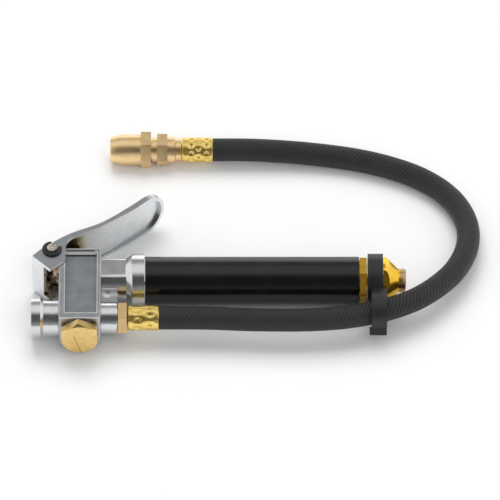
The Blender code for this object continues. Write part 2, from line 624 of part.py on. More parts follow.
def build_valve():
    at = (VALVE_X, 0, 0)
    seal_top = SEAT_Y - GAP
    seal_bottom = seal_top - SEAL_THICKNESS
    poppet_top = seal_bottom - GAP
    poppet_bottom = poppet_top - POPPET_THICKNESS
    underside, slope = lever_underside(VALVE_X)
    dome_centre = underside - (STEM_R + GAP) * math.hypot(1, slope)
    dome = [(dome_centre + STEM_R * math.cos(a), STEM_R * math.sin(a))
            for a in (math.radians(step * 22.5) for step in range(5))]
    turned("valve_stem", dome + [(seal_bottom, STEM_R), (seal_bottom, 0)], steel(), "Y", at,
           SEGMENTS_SMALL)
    turned("valve_seal", [(seal_top, SEAL_R), (seal_bottom, SEAL_R),
                          (seal_bottom, STEM_R + GAP), (seal_top, STEM_R + GAP)],
           seal_rubber(), "Y", at, SEGMENTS_MEDIUM)
    turned("valve_poppet", [
        (poppet_top, 0), (poppet_top, SEAL_R), (poppet_bottom, SEAL_R),
        (poppet_bottom, POPPET_BOSS_R), (poppet_bottom - POPPET_BOSS_LENGTH, POPPET_BOSS_R),
        (poppet_bottom - POPPET_BOSS_LENGTH, 0)], brass(), "Y", at, SEGMENTS_MEDIUM)

    turned("stem_bush", [
        (BODY_TOP + GAP + BUSH_FLANGE_THICKNESS, BUSH_FLANGE_R - 0.4 * MM),
        (BODY_TOP + GAP + BUSH_FLANGE_THICKNESS - 0.4 * MM, BUSH_FLANGE_R),
        (BODY_TOP + GAP, BUSH_FLANGE_R), (BODY_TOP + GAP, BUSH_SHANK_R),
        (UPPER_CHAMBER_TOP + GAP, BUSH_SHANK_R), (UPPER_CHAMBER_TOP + GAP, STEM_R + SLIP),
        (BODY_TOP + GAP + BUSH_FLANGE_THICKNESS, STEM_R + SLIP)],
        brass(), "Y", at, SEGMENTS_MEDIUM)
    ring_r = STEM_R + GAP + RING_MINOR_R
    ring_y = UPPER_CHAMBER_TOP - RING_MINOR_R
    turned("stem_ring", [(ring_y + RING_MINOR_R * math.cos(a), ring_r + RING_MINOR_R * math.sin(a))
                         for a in (math.radians(30 + 60 * step) for step in range(6))],
           seal_rubber(), "Y", at, SEGMENTS_SMALL)

    washer_top = BODY_BOTTOM - GAP
    head_top = washer_top - WASHER_THICKNESS - GAP
    head_bottom = head_top - PLUG_HEAD
    shank_r = CHAMBER_R - GAP
    turned("plug_washer", [(washer_top, WASHER_R), (washer_top - WASHER_THICKNESS, WASHER_R),
                           (washer_top - WASHER_THICKNESS, shank_r + GAP),
                           (washer_top, shank_r + GAP)], steel(), "Y", at)
    plug = hexagon("valve_plug", head_bottom, head_top, PLUG_FLATS, brass(), "Y", at,
                   math.radians(-4))
    corner = PLUG_FLATS / math.sqrt(3)
    keep_inside(plug, turned("plug_chamfer", [
        (head_top + 1 * MM, 0), (head_top + 1 * MM, corner + 1 * MM),
        (head_bottom + PLUG_CHAMFER, corner + 0.1 * MM),
        (head_bottom - 0.01 * MM, corner - 1.9 * PLUG_CHAMFER),
        (head_bottom - 0.01 * MM, 0)], axis="Y", at=at))
    add(plug, rod("plug_shank", head_top - 1 * MM, head_top + PLUG_SHANK, shank_r, axis="Y", at=at))
    cup_floor = head_top + PLUG_SHANK - PLUG_CUP_DEPTH
    cut(plug, rod("plug_cup", cup_floor, head_top + PLUG_SHANK + 2 * MM, PLUG_CUP_R, axis="Y", at=at))
    coil("valve_spring", cup_floor + GAP, poppet_bottom - GAP, VALVE_SPRING_R,
         VALVE_SPRING_WIRE_R, VALVE_SPRING_TURNS, "Y", at, steel())


# ---------------------------------------------------------------- lever and pivot

def lever_outline():
    top = smooth_line([Vector(point) for point in LEVER_TOP[2:]], 3)
    under = smooth_line([Vector(point) for point in LEVER_UNDER], 3)
    ahead = [Vector(point) for point in LEVER_TOP[:2]]
    whole = [*under, *map(Vector, LEVER_EAR), *ahead, *top]
    return [tuple(point * MM) for point in reversed(whole)]


def lever_hollow():
    """The space under the plate and between the cheeks, open below and over the pivot."""
    top = smooth_line([Vector(point) for point in LEVER_TOP[2:]], 3)
    lowered = []
    for before, point, after in zip(top, top[1:], top[2:]):
        along = (after - before).normalized()
        lowered.append(point * MM + Vector((along.y, -along.x)) * LEVER_PLATE)
    ceiling = [point for point in lowered if point.x > LEVER_OPEN_TOP_X]
    nose, ear = Vector(LEVER_TOP[0]) * MM, Vector(LEVER_EAR[-1]) * MM
    down = (ear - nose).normalized()
    inward = Vector((-down.y, down.x)) * LEVER_WALL
    wall_end = nose + down * ((LEVER_NOSE_END_X - nose.x) / down.x)
    floor = min(point[1] for point in LEVER_EAR) * MM - 3 * MM
    outline = [nose + inward - down * 12 * MM, nose + inward, wall_end + inward,
               wall_end - inward * 1.5, Vector((wall_end.x - 1 * MM, floor)),
               Vector((LEVER_EAR[0][0] * MM + 12 * MM, floor)),
               Vector((LEVER_UNDER[0][0] * MM + 6 * MM, LEVER_UNDER[0][1] * MM - 8 * MM)),
               *reversed(ceiling), Vector((LEVER_OPEN_TOP_X, ceiling[0].y)),
               Vector((LEVER_OPEN_TOP_X, ceiling[0].y + 8 * MM))]
    return [tuple(point) for point in outline]


def paddle_plan(name, half_width, height):
    """The lever seen square to its paddle: straight sides and a round end."""
    tilt = Matrix.Rotation(PADDLE_ANGLE, 4, "Z") @ Matrix.Rotation(math.radians(90), 4, "X")
    centre = Matrix.Translation(Vector((*PADDLE_CENTRE, 0)) * MM)
    outline = [(-110 * MM, -half_width)]
    outline += arc((0, 0), half_width, math.radians(-90), math.radians(90), 20)
    outline += [(-110 * MM, half_width)]
    return plate(name, outline, -height, height, matrix=centre @ tilt)


def build_lever():
    lever = plate("lever", lever_outline(), -LEVER_HALF_WIDTH - 2 * MM,
                  LEVER_HALF_WIDTH + 2 * MM, plated_zinc())
    keep_inside(lever, paddle_plan("paddle_plan", LEVER_HALF_WIDTH, 70 * MM))
    hollow = plate("lever_hollow", lever_hollow(), -LEVER_HALF_WIDTH, LEVER_HALF_WIDTH)
    keep_inside(hollow, paddle_plan("hollow_plan", LEVER_HALF_WIDTH - LEVER_WALL, 70 * MM))
    bore = rod("lever_bore", -LEVER_HALF_WIDTH - 4 * MM, LEVER_HALF_WIDTH + 4 * MM,
               PIN_R + SLIP, axis="Z", at=(PIVOT_X, PIVOT_Y, 0), segments=SEGMENTS_SMALL)
    cut(lever, hollow, bore)
    return lever


def build_pivot():
    at = (PIVOT_X, PIVOT_Y, 0)
    head_z = -LEVER_HALF_WIDTH - GAP
    ring_z = LEVER_HALF_WIDTH + GAP
    pin_top = ring_z + CLIP_RING_THICKNESS + PIN_END
    groove_r = PIN_R - 0.5 * MM
    turned("pivot_pin", [
        (pin_top, 0), (pin_top, PIN_R - 0.3 * MM), (pin_top - 0.3 * MM, PIN_R),
        (ring_z + CLIP_RING_THICKNESS + GAP, PIN_R),
        (ring_z + CLIP_RING_THICKNESS + GAP, groove_r), (ring_z - GAP, groove_r),
        (ring_z - GAP, PIN_R), (head_z, PIN_R), (head_z, PIN_HEAD_R),
        (head_z - PIN_HEAD_THICKNESS, PIN_HEAD_R - 0.5 * MM), (head_z - PIN_HEAD_THICKNESS, 0)],
        steel(), "Z", at, SEGMENTS_SMALL)
    start = CLIP_RING_OPENS_AT + CLIP_RING_OPENING / 2
    end = start + math.tau - CLIP_RING_OPENING
    ring = arc((0, 0), CLIP_RING_R, start, end, 26)
    ring += arc((0, 0), groove_r + GAP, end, start, 20)
    plate("retaining_ring", ring, ring_z, ring_z + CLIP_RING_THICKNESS, black_steel(),
          Matrix.Translation(at))


# ---------------------------------------------------------------- handle and gauge

def build_handle():
    handle = turned("handle_tube", [
        (TUBE_END, TUBE_BORE_R), (TUBE_END, HANDLE_R - 0.4 * MM), (TUBE_END - 0.4 * MM, HANDLE_R),
        (TUBE_START, HANDLE_R), (TUBE_START, TUBE_BORE_R)], black_tube())
    # The list above starts on the bore, so that the section closes along it.
    slot = block("window_slot", (WINDOW_START, 0, -WINDOW_WIDTH / 2),
                 (WINDOW_START + WINDOW_LENGTH, HANDLE_R + 2 * MM, WINDOW_WIDTH / 2))
    cut(handle, slot)

    lens = turned("window_lens", [
        (WINDOW_START + WINDOW_LENGTH - GAP, HANDLE_R - 0.1 * MM),
        (WINDOW_START + GAP, HANDLE_R - 0.1 * MM),
        (WINDOW_START + GAP, HANDLE_R - LENS_THICKNESS),
        (WINDOW_START + WINDOW_LENGTH - GAP, HANDLE_R - LENS_THICKNESS)], clear_plastic(),
        segments=SEGMENTS_LARGE * 2)
    keep_inside(lens, block("lens_sides", (WINDOW_START - 1 * MM, 1 * MM, -WINDOW_WIDTH / 2 + GAP),
                            (WINDOW_START + WINDOW_LENGTH + 1 * MM, HANDLE_R + 1 * MM,
                             WINDOW_WIDTH / 2 - GAP)))


def build_gauge():
    gland_r = TUBE_BORE_R - GAP
    start = SOCKET_FLOOR + GAP
    turned("gauge_gland", [
        (GLAND_END, gland_r), (GLAND_END - 2.4 * MM, gland_r), (GLAND_END - 2.4 * MM, gland_r - 1.5 * MM),
        (GLAND_END - 4.4 * MM, gland_r - 1.5 * MM), (GLAND_END - 4.4 * MM, gland_r), (start, gland_r),
        (start, GLAND_SPIGOT_R), (start - GLAND_SPIGOT_LENGTH, GLAND_SPIGOT_R),
        (start - GLAND_SPIGOT_LENGTH, FITTING_BORE_R), (GLAND_END, FITTING_BORE_R)],
        brass())
    ring_r = gland_r - 0.75 * MM
    turned("gland_ring", [(GLAND_END - 3.4 * MM + RING_MINOR_R * 0.9 * math.cos(a),
                           ring_r + RING_MINOR_R * 0.6 * math.sin(a))
                          for a in (math.radians(30 + 60 * step) for step in range(6))],
           seal_rubber(), segments=SEGMENTS_LARGE)
    bore = CYLINDER_R - CYLINDER_WALL
    turned("gauge_cylinder", [(CYLINDER_END, bore), (CYLINDER_END, CYLINDER_R),
                              (CYLINDER_START, CYLINDER_R), (CYLINDER_START, bore)],
           brass(), segments=SEGMENTS_MEDIUM)
    turned("gauge_piston", [
        (DRUM_START - GAP, 0), (DRUM_START - GAP, PISTON_ROD_R),
        (PISTON_START + PISTON_LENGTH, PISTON_ROD_R), (PISTON_START + PISTON_LENGTH, bore - SLIP),
        (PISTON_START, bore - SLIP), (PISTON_START, 0)], steel(), segments=SEGMENTS_SMALL)
    drum_r = HANDLE_R - HANDLE_WALL - SLIP
    turned("indicator_drum", [
        (DRUM_END, drum_r - DRUM_WALL), (DRUM_END, drum_r), (DRUM_START, drum_r),
        (DRUM_START, 0), (DRUM_START + 2 * MM, 0), (DRUM_START + 2 * MM, drum_r - DRUM_WALL)],
        white_plastic())
    coil("gauge_spring", DRUM_START + 2 * MM + GAP, TAIL_SPIGOT_START - GAP, GAUGE_SPRING_R,
         GAUGE_SPRING_WIRE_R, GAUGE_SPRING_TURNS, "X", (0, 0, 0), steel())


# ---------------------------------------------------------------- tail of the handle

def build_tail():
    spigot_r = TUBE_BORE_R - GAP
    collar = hexagon("tail_collar", TAIL_COLLAR_START, TAIL_COLLAR_END, TAIL_FLATS, gold_finish(),
                     turn=math.radians(11))
    add(collar, rod("tail_spigot", TAIL_SPIGOT_START, TAIL_COLLAR_START + 1 * MM, spigot_r,
                    segments=SEGMENTS_LARGE))
    cut(collar, rod("tail_bore", TAIL_SPIGOT_START - 2 * MM, TAIL_COLLAR_END + 2 * MM,
                    TAIL_BORE_R, segments=SEGMENTS_SMALL))

    cap = hexagon("tail_cap", CAP_HEX_START, CAP_END, TAIL_FLATS, gold_finish(),
                  turn=math.radians(11))
    corner = TAIL_FLATS / math.sqrt(3)
    keep_inside(cap, turned("cap_cone", [
        (CAP_END + 1 * MM, 0), (CAP_END + 1 * MM, CAP_END_R), (CAP_CONE_END, CAP_END_R),
        (CAP_CONE_END - 1.6 * MM, CAP_END_R + 1.5 * MM), (CAP_CONE_START, corner - 0.5 * MM),
        (CAP_HEX_START, corner + 0.3 * MM), (CAP_HEX_START - 1 * MM, corner + 0.3 * MM),
        (CAP_HEX_START - 1 * MM, 0)]))
    add(cap, rod("cap_barrel", CAP_START, CAP_HEX_START + 1 * MM, CAP_BARREL_R,
                 segments=SEGMENTS_LARGE),
        rod("cap_spigot", CAP_START - TAIL_COLLAR_LENGTH - 2 * MM, CAP_START + 1 * MM,
            CAP_SPIGOT_R, segments=SEGMENTS_SMALL))
    cut(cap, rod("cap_bore", CAP_START - TAIL_COLLAR_LENGTH - 4 * MM, CAP_END + 2 * MM,
                 FITTING_BORE_R + GAP, segments=SEGMENTS_SMALL))
    button_start = CAP_END + GAP
    turned("vent_button", [
        (button_start + BUTTON_LENGTH, 0), (button_start + BUTTON_LENGTH, BUTTON_R - 1.2 * MM),
        (button_start + BUTTON_LENGTH - 0.3 * MM, BUTTON_R - 0.4 * MM),
        (button_start + BUTTON_LENGTH - 0.9 * MM, BUTTON_R),
        (button_start + 0.7 * MM, BUTTON_R), (button_start, BUTTON_R - 0.7 * MM),
        (button_start, FITTING_BORE_R), (button_start - CAP_END_LENGTH - 3 * MM, FITTING_BORE_R),
        (button_start - CAP_END_LENGTH - 3 * MM, 0)], gold_finish())


def build_hose_clip():
    inner = CAP_BARREL_R + GAP
    low, high = STRAP_X - STRAP_WIDTH / 2, STRAP_X + STRAP_WIDTH / 2
    hook_low, hook_high = low + HOOK_SHIFT, high + HOOK_SHIFT
    hook = (0, HOOK_Y, 0)
    hook_r = HOSE_R + HOOK_SLACK
    clip = rod("hose_clip", low, high, inner + STRAP_WALL, strap_plastic(),
               segments=SEGMENTS_LARGE)
    tab = [(y * MM, z * MM) for y, z in HOOK_TAB]
    add(clip, rod("hook", hook_low, hook_high, hook_r + HOOK_WALL, at=hook,
                  segments=SEGMENTS_LARGE),
        plate("hook_tab", tab, hook_low + 0.1 * MM, hook_high - 0.1 * MM, matrix=ACROSS))
    strap_bore = rod("strap_bore", low - 3 * MM, hook_high + 3 * MM, inner,
                     segments=SEGMENTS_LARGE)
    hex_room = rod("hex_room", high - 0.6 * MM, hook_high + 3 * MM,
                   TAIL_FLATS / math.sqrt(3) + 0.4 * MM, segments=SEGMENTS_LARGE)
    hose_bore = rod("hose_bore", low - 3 * MM, hook_high + 3 * MM, hook_r, at=hook,
                    segments=SEGMENTS_LARGE)
    wedge = [(0, 0), *arc((0, 0), 2.5 * (hook_r + HOOK_WALL), HOOK_OPENS_AT - HOOK_OPENING / 2,
                          HOOK_OPENS_AT + HOOK_OPENING / 2, 4)]
    mouth = plate("hook_mouth", wedge, low - 3 * MM, hook_high + 3 * MM,
                  matrix=Matrix.Translation(hook) @ ACROSS)
    cut(clip, strap_bore, hex_room, hose_bore, mouth)
    lip = [(y * MM, z * MM) for y, z in HOOK_LIP]
    add(clip, plate("hook_lip", lip, hook_low - 1.1 * MM, hook_high - 0.1 * MM, matrix=ACROSS))
    return clip


# ---------------------------------------------------------------- hose and its fittings

def crimped_ferrule(name, start, at):
    """A sleeve pressed on in two rows of dents round the hose."""
    rings = [0, 0.04, 0.14, 0.28, 0.42, 0.5, 0.58, 0.72, 0.86, 0.96, 1.0]
    depth = [0.6, 0, 0.15, 1, 0.15, 0, 0.15, 1, 0.15, 0, 0.6]
    outside = [(start + share * FERRULE_LENGTH, FERRULE_R) for share in reversed(rings)]
    inner = BARB_R + GAP
    sleeve = turned(name, [*outside, (start, inner), (start + FERRULE_LENGTH, inner)],
                    yellow_brass(), at=at, segments=FERRULE_SIDES * 4)
    evaluated = sleeve.evaluated_get(bpy.context.evaluated_depsgraph_get())
    mesh = bpy.data.meshes.new_from_object(evaluated)
    sleeve.modifiers.clear()
    for vertex in mesh.vertices:
        radius = math.hypot(vertex.co.x, vertex.co.y)
        if radius > FERRULE_R - 0.1 * MM:
            share = (vertex.co.z - start) / FERRULE_LENGTH
            nearest = min(range(len(rings)), key=lambda index: abs(rings[index] - share))
            wave = 0.5 - 0.5 * math.cos(FERRULE_SIDES * math.atan2(vertex.co.y, vertex.co.x))
            shrink = 1 - FERRULE_DENT * depth[nearest] * (0.35 + 0.65 * wave) / radius
            vertex.co.x *= shrink
            vertex.co.y *= shrink
    sleeve.data = mesh
    return sleeve


def build_hose_nipple():
    at = (0, PORT_Y, 0)
    nipple = hexagon("hose_nipple", HEX_START, HEX_START + NIPPLE_HEX, NIPPLE_FLATS, brass(),
                     at=at, turn=math.radians(15))
    add(nipple, rod("nipple_shank", OUTLET_END - OUTLET_BORE_DEPTH + GAP, HEX_START + 1 * MM,
                    NIPPLE_SHANK_R, at=at),
        rod("nipple_groove", HEX_START + NIPPLE_HEX - 1 * MM, FERRULE_START - GAP,
            NIPPLE_GROOVE_R, at=at),
        rod("nipple_barb", FERRULE_START - 1 * MM, FERRULE_START + BARB_LENGTH, BARB_R, at=at,
            segments=SEGMENTS_SMALL))
    cut(nipple, rod("nipple_bore", OUTLET_END - OUTLET_BORE_DEPTH - 2 * MM,
                    FERRULE_START + BARB_LENGTH + 2 * MM, FITTING_BORE_R, at=at, segments=12))
    crimped_ferrule("hose_ferrule", FERRULE_START, at)


def build_hose():
    start = Vector((FERRULE_END + GAP, PORT_Y, 0))
    end = Vector((CHUCK_FERRULE_END + GAP, CHUCK_Y, CHUCK_Z))
    straight = Vector((STRAIGHT_RUN, 0, 0))
    route = [Vector((x * MM, y * MM, height * MM - AXIS_HEIGHT)) for x, y, height in HOSE_ROUTE]
    line = smooth_line([start, start + straight, *route, end + straight, end], 12)
    tube("hose", even_points(line, HOSE_SEGMENTS), HOSE_R, hose_rubber(), 3)


# ---------------------------------------------------------------- chuck

def build_chuck():
    at = (0, CHUCK_Y, CHUCK_Z)
    chuck = turned("chuck_body", [
        (CHUCK_HEX_START + 1 * MM, 0), (CHUCK_HEX_START + 1 * MM, CHUCK_R),
        (CHUCK_MOUTH_X + CHUCK_TAPER, CHUCK_R), (CHUCK_MOUTH_X + 0.4 * MM, CHUCK_NOSE_R),
        (CHUCK_MOUTH_X, CHUCK_NOSE_R - 0.4 * MM), (CHUCK_MOUTH_X, 0)], brass(), at=at)
    add(chuck, hexagon("chuck_hex", CHUCK_HEX_START, CHUCK_HEX_END, CHUCK_FLATS, at=at))
    cut(chuck, rod("chuck_bore", CHUCK_BORE_START, CHUCK_HEX_END + 2 * MM, CHUCK_BORE_R, at=at,
                   segments=SEGMENTS_LARGE),
        rod("chuck_mouth", CHUCK_MOUTH_X - 2 * MM, CHUCK_BORE_START + 1 * MM, CHUCK_MOUTH_R, at=at))

    bore_r = CHUCK_BORE_R - GAP
    turned("chuck_gasket", [
        (GASKET_START + GASKET_THICKNESS, bore_r), (GASKET_START, bore_r),
        (GASKET_START, GASKET_HOLE_R), (GASKET_START + GASKET_THICKNESS, GASKET_HOLE_R)],
        seal_rubber(), at=at, segments=SEGMENTS_MEDIUM)
    spider = turned("depressor_pin", [
        (SPIDER_START + SPIDER_THICKNESS, 0), (SPIDER_START + SPIDER_THICKNESS, bore_r),
        (SPIDER_START, bore_r), (SPIDER_START, SPIDER_PIN_R),
        (SPIDER_START - SPIDER_PIN_LENGTH, SPIDER_PIN_R),
        (SPIDER_START - SPIDER_PIN_LENGTH, 0)], brass(), at=at, segments=SEGMENTS_MEDIUM)
    for index in range(3):
        angle = math.tau * index / 3
        hole_at = Vector(at) + 3.2 * MM * Vector((0, math.cos(angle), math.sin(angle)))
        cut(spider, rod(f"air_hole_{index}", SPIDER_START - 1 * MM,
                        SPIDER_START + SPIDER_THICKNESS + 1 * MM, 1.1 * MM, at=hole_at, segments=12))

    adapter = hexagon("chuck_adapter", ADAPTER_HEX_START, ADAPTER_HEX_END, ADAPTER_FLATS, brass(),
                      at=at)
    add(adapter,
        rod("adapter_shank", ADAPTER_START, ADAPTER_STEP_START + 1 * MM, bore_r, at=at),
        rod("adapter_step", ADAPTER_STEP_START, ADAPTER_HEX_START + 1 * MM, ADAPTER_STEP_R, at=at),
        rod("adapter_tail", ADAPTER_HEX_END - 1 * MM, ADAPTER_END, ADAPTER_TAIL_R, at=at))
    cut(adapter, rod("adapter_bore", ADAPTER_END - ADAPTER_BORE, ADAPTER_END + 2 * MM,
                     ADAPTER_BORE_R, at=at),
        rod("adapter_passage", ADAPTER_START - 2 * MM, ADAPTER_END, FITTING_BORE_R + GAP, at=at,
            segments=12))

    ring_end = TAILPIECE_RING_START + TAILPIECE_RING
    turned("chuck_tailpiece", [
        (CHUCK_FERRULE_START + BARB_LENGTH, FITTING_BORE_R),
        (CHUCK_FERRULE_START + BARB_LENGTH, BARB_R), (CHUCK_FERRULE_START - GAP, BARB_R),
        (CHUCK_FERRULE_START - GAP, NIPPLE_GROOVE_R), (ring_end, NIPPLE_GROOVE_R),
        (ring_end, TAILPIECE_RING_R), (TAILPIECE_RING_START, TAILPIECE_RING_R),
        (TAILPIECE_RING_START, ADAPTER_BORE_R - GAP), (TAILPIECE_START, ADAPTER_BORE_R - GAP),
        (TAILPIECE_START, FITTING_BORE_R)], brass(), at=at, segments=SEGMENTS_MEDIUM)
    crimped_ferrule("chuck_ferrule", CHUCK_FERRULE_START, at)


build_valve_body()
build_valve()
build_lever()
build_pivot()
build_handle()
build_gauge()
build_tail()
build_hose_clip()
build_hose_nipple()
build_hose()
build_chuck()
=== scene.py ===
import math

import bmesh
import bpy
from mathutils import Matrix, Vector


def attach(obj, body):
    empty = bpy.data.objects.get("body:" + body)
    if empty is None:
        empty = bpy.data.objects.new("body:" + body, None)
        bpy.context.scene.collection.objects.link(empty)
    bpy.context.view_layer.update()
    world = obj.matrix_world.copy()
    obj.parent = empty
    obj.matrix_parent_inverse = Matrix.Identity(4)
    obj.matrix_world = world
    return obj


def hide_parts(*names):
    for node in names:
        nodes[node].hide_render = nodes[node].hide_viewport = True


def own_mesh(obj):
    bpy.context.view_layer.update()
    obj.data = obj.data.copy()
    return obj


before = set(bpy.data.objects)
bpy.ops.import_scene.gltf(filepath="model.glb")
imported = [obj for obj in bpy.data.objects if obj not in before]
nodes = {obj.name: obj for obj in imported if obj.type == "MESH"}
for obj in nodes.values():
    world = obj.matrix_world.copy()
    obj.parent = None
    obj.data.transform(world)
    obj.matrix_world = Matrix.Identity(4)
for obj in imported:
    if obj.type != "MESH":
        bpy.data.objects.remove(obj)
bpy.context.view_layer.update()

# ------------------------------------------------------------------ the bench and the view
# The tool lies on its side on a pale bench and is seen from the side of its plug, half from
# above. A long lens keeps its lines parallel, as in the photograph.

MM = 0.001
AXIS_HEIGHT = 14.9                                     # of the handle over the bench, in millimetres
TOOL_ZERO = Vector((-102.85, -7.3, AXIS_HEIGHT)) * MM  # tool space starts on the handle's axis
VIEW_TILT = math.radians(45)
VIEW_WIDTH = 275 * MM
VIEW_CENTRE = (120.2, 23.7, 0.0)
LENS = 1000.0
BENCH_REACH = 4.0
BENCH_WHITES = (0.80, 0.80, 0.795), (0.83, 0.83, 0.83)

# How bright the room is that metal sees: from in front of the tool (0) to behind it (1), and
# from its middle (0) out to either side (1).
ROOM_AHEAD = [(0.0, 0.35), (0.035, 0.17), (0.075, 0.09), (0.275, 0.09), (0.35, 0.5), (0.44, 0.9),
              (0.725, 0.85), (0.80, 0.44), (0.875, 0.36), (0.925, 0.5), (0.95, 1.4), (1.0, 1.4)]
ROOM_BESIDE = [(0.42, 0.0), (0.72, 1.0)]


def tool_point(x, y, z):
    """A place in tool space, in millimetres, as a point of the frame."""
    return TOOL_ZERO + Vector((x, y, z)) * MM


def placed(name, data):
    """A new object in the scene."""
    made = bpy.data.objects.new(name, data)
    bpy.context.scene.collection.objects.link(made)
    return made


def aimed(name, data, place, along):
    """A camera or a lamp at a place, turned to face along a direction."""
    made = placed(name, data)
    made.location = place
    made.rotation_mode = "QUATERNION"
    made.rotation_quaternion = along.to_track_quat("-Z", "Y")
    return made


def new_look(name, **plain):
    """A node material and its Principled shader, with the shader's plain values by name."""
    look = bpy.data.materials.new(name)
    look.use_nodes = True
    shader = look.node_tree.nodes["Principled BSDF"]
    for key, value in plain.items():
        shader.inputs[key.replace("_", " ")].default_value = value
    return look, look.node_tree, shader


def put(tree, kind, **values):
    """Add a node. Values are its settings, or its inputs by name with _ for a space."""
    made = tree.nodes.new(kind)
    for key, value in values.items():
        if hasattr(made, key):
            setattr(made, key, value)
        else:
            made.inputs[key.replace("_", " ")].default_value = value
    return made


def feed(tree, shader, **sources):
    """Join sources to a shader's inputs, by name with _ for a space."""
    for key, source in sources.items():
        tree.links.new(source, shader.inputs[key.replace("_", " ")])


def split(tree, vector):
    """The X, Y and Z of a vector."""
    made = put(tree, "ShaderNodeSeparateXYZ")
    tree.links.new(vector, made.inputs[0])
    return made.outputs


def own_place(tree):
    """Where each point of the surface lies in the piece's own space."""
    return put(tree, "ShaderNodeTexCoord").outputs["Object"]


def noise(tree, **values):
    """A cloudy pattern over the piece's own space."""
    made = put(tree, "ShaderNodeTexNoise", **values)
    tree.links.new(own_place(tree), made.inputs["Vector"])
    return made.outputs["Fac"]


def ramp(tree, source, *stops):
    """A colour ramp over a value, from (place, colour or grey) stops."""
    made = put(tree, "ShaderNodeValToRGB")
    while len(made.color_ramp.elements) < len(stops):
        made.color_ramp.elements.new(0.5)
    for element, (place, colour) in zip(made.color_ramp.elements, stops):
        grey = isinstance(colour, (int, float))
        element.position = place
        element.color = (colour, colour, colour, 1) if grey else (*colour, 1)
    tree.links.new(source, made.inputs["Fac"])
    return made.outputs["Color"]


def sums(tree, operation, *values):
    """One Math node over sockets and plain numbers."""
    made = put(tree, "ShaderNodeMath", operation=operation)
    for slot, value in zip(made.inputs, values):
        if isinstance(value, bpy.types.NodeSocket):
            tree.links.new(value, slot)
        else:
            slot.default_value = value
    return made.outputs[0]


def bench():
    """A wide pale sheet under the tool, with a faint cloud in its white."""
    shape = bmesh.new()
    bmesh.ops.create_grid(shape, x_segments=2, y_segments=2, size=BENCH_REACH)
    mesh = bpy.data.meshes.new("bench")
    shape.to_mesh(mesh)
    shape.free()
    top = placed("bench", mesh)
    look, tree, shader = new_look("pale_bench", Roughness=0.7, Specular_IOR_Level=0.2)
    cloud = noise(tree, Scale=7.0, Detail=3.0, Roughness=0.5)
    feed(tree, shader,
         Base_Color=ramp(tree, cloud, (0.3, BENCH_WHITES[0]), (0.7, BENCH_WHITES[1])))
    mesh.materials.append(look)


def lamp(name, place, size, power, colour):
    """A soft square lamp that faces the tool. Metal is lit by the room's own reflection."""
    data = bpy.data.lights.new(name, "AREA")
    data.shape = "SQUARE"
    data.size = size
    data.energy = power
    data.color = colour
    made = aimed(name, data, place, -Vector(place))
    made.visible_glossy = False
    made.visible_camera = False


def studio_air():
    """An even pale room. Metal sees its bright ceiling, its dimmer far wall and the dark
    corner from which the tool is seen."""
    world = bpy.data.worlds.new("studio_air")
    bpy.context.scene.world = world
    world.use_nodes = True
    tree = world.node_tree
    tree.nodes.clear()

    def mixed(share, first, second):
        """One shader or the other, by a share."""
        made = put(tree, "ShaderNodeMixShader")
        for slot, source in zip(made.inputs, (share, first, second)):
            tree.links.new(source, slot)
        return made.outputs[0]

    across, away, _ = split(tree, put(tree, "ShaderNodeTexCoord").outputs["Generated"])
    ahead = ramp(tree, sums(tree, "ADD", sums(tree, "MULTIPLY", away, 0.5), 0.5), *ROOM_AHEAD)
    beside = ramp(tree, sums(tree, "ABSOLUTE", across), *ROOM_BESIDE)
    bright = put(tree, "ShaderNodeBackground", Strength=1.0)
    tree.links.new(sums(tree, "MAXIMUM", ahead, beside), bright.inputs["Color"])
    room = put(tree, "ShaderNodeBackground", Color=(0.96, 0.975, 1.0, 1), Strength=0.72)
    white = put(tree, "ShaderNodeBackground", Color=(0.95, 0.95, 0.95, 1), Strength=1.0)
    path = put(tree, "ShaderNodeLightPath")
    lit = mixed(path.outputs["Is Glossy Ray"], room.outputs[0], bright.outputs[0])
    shown = sums(tree, "MAXIMUM", path.outputs["Is Camera Ray"],
                 path.outputs["Is Transmission Ray"])
    out = put(tree, "ShaderNodeOutputWorld")
    tree.links.new(mixed(shown, lit, white.outputs[0]), out.inputs["Surface"])


camera_data = bpy.data.cameras.new("camera")
camera_data.lens = LENS
towards_camera = Vector((0, -math.cos(VIEW_TILT), math.sin(VIEW_TILT)))
camera_place = (tool_point(*VIEW_CENTRE)
                + towards_camera * VIEW_WIDTH * LENS / camera_data.sensor_width)
bpy.context.scene.camera = aimed("camera", camera_data, camera_place, -towards_camera)
bpy.context.scene.view_settings.view_transform = "Standard"
bench()
studio_air()
lamp("key_lamp", place=(-0.12, 0.85, 1.6), size=1.3, power=19.0, colour=(1.0, 0.985, 0.96))
lamp("fill_lamp", place=(0.5, -1.3, 1.2), size=1.4, power=9.0, colour=(0.97, 0.985, 1.0))

# ------------------------------------------------------------------ cast valve body
# Zinc casting, plated and left satin on its flat faces, with its round bosses turned and
# polished bright. The recessed sides keep the grey skin of the mould.

BODY_EDGE = 0.35 * MM
PLAIN_EDGE = 0.15 * MM
EDGE_STEPS = 2
WELD_GAP = 0.005 * MM
FLAT_ANGLE = math.radians(0.8)
BEVEL_ANGLE = math.radians(34)
CREASE_ANGLE = math.radians(35)
MASK_SOFTNESS = 0.25 * MM

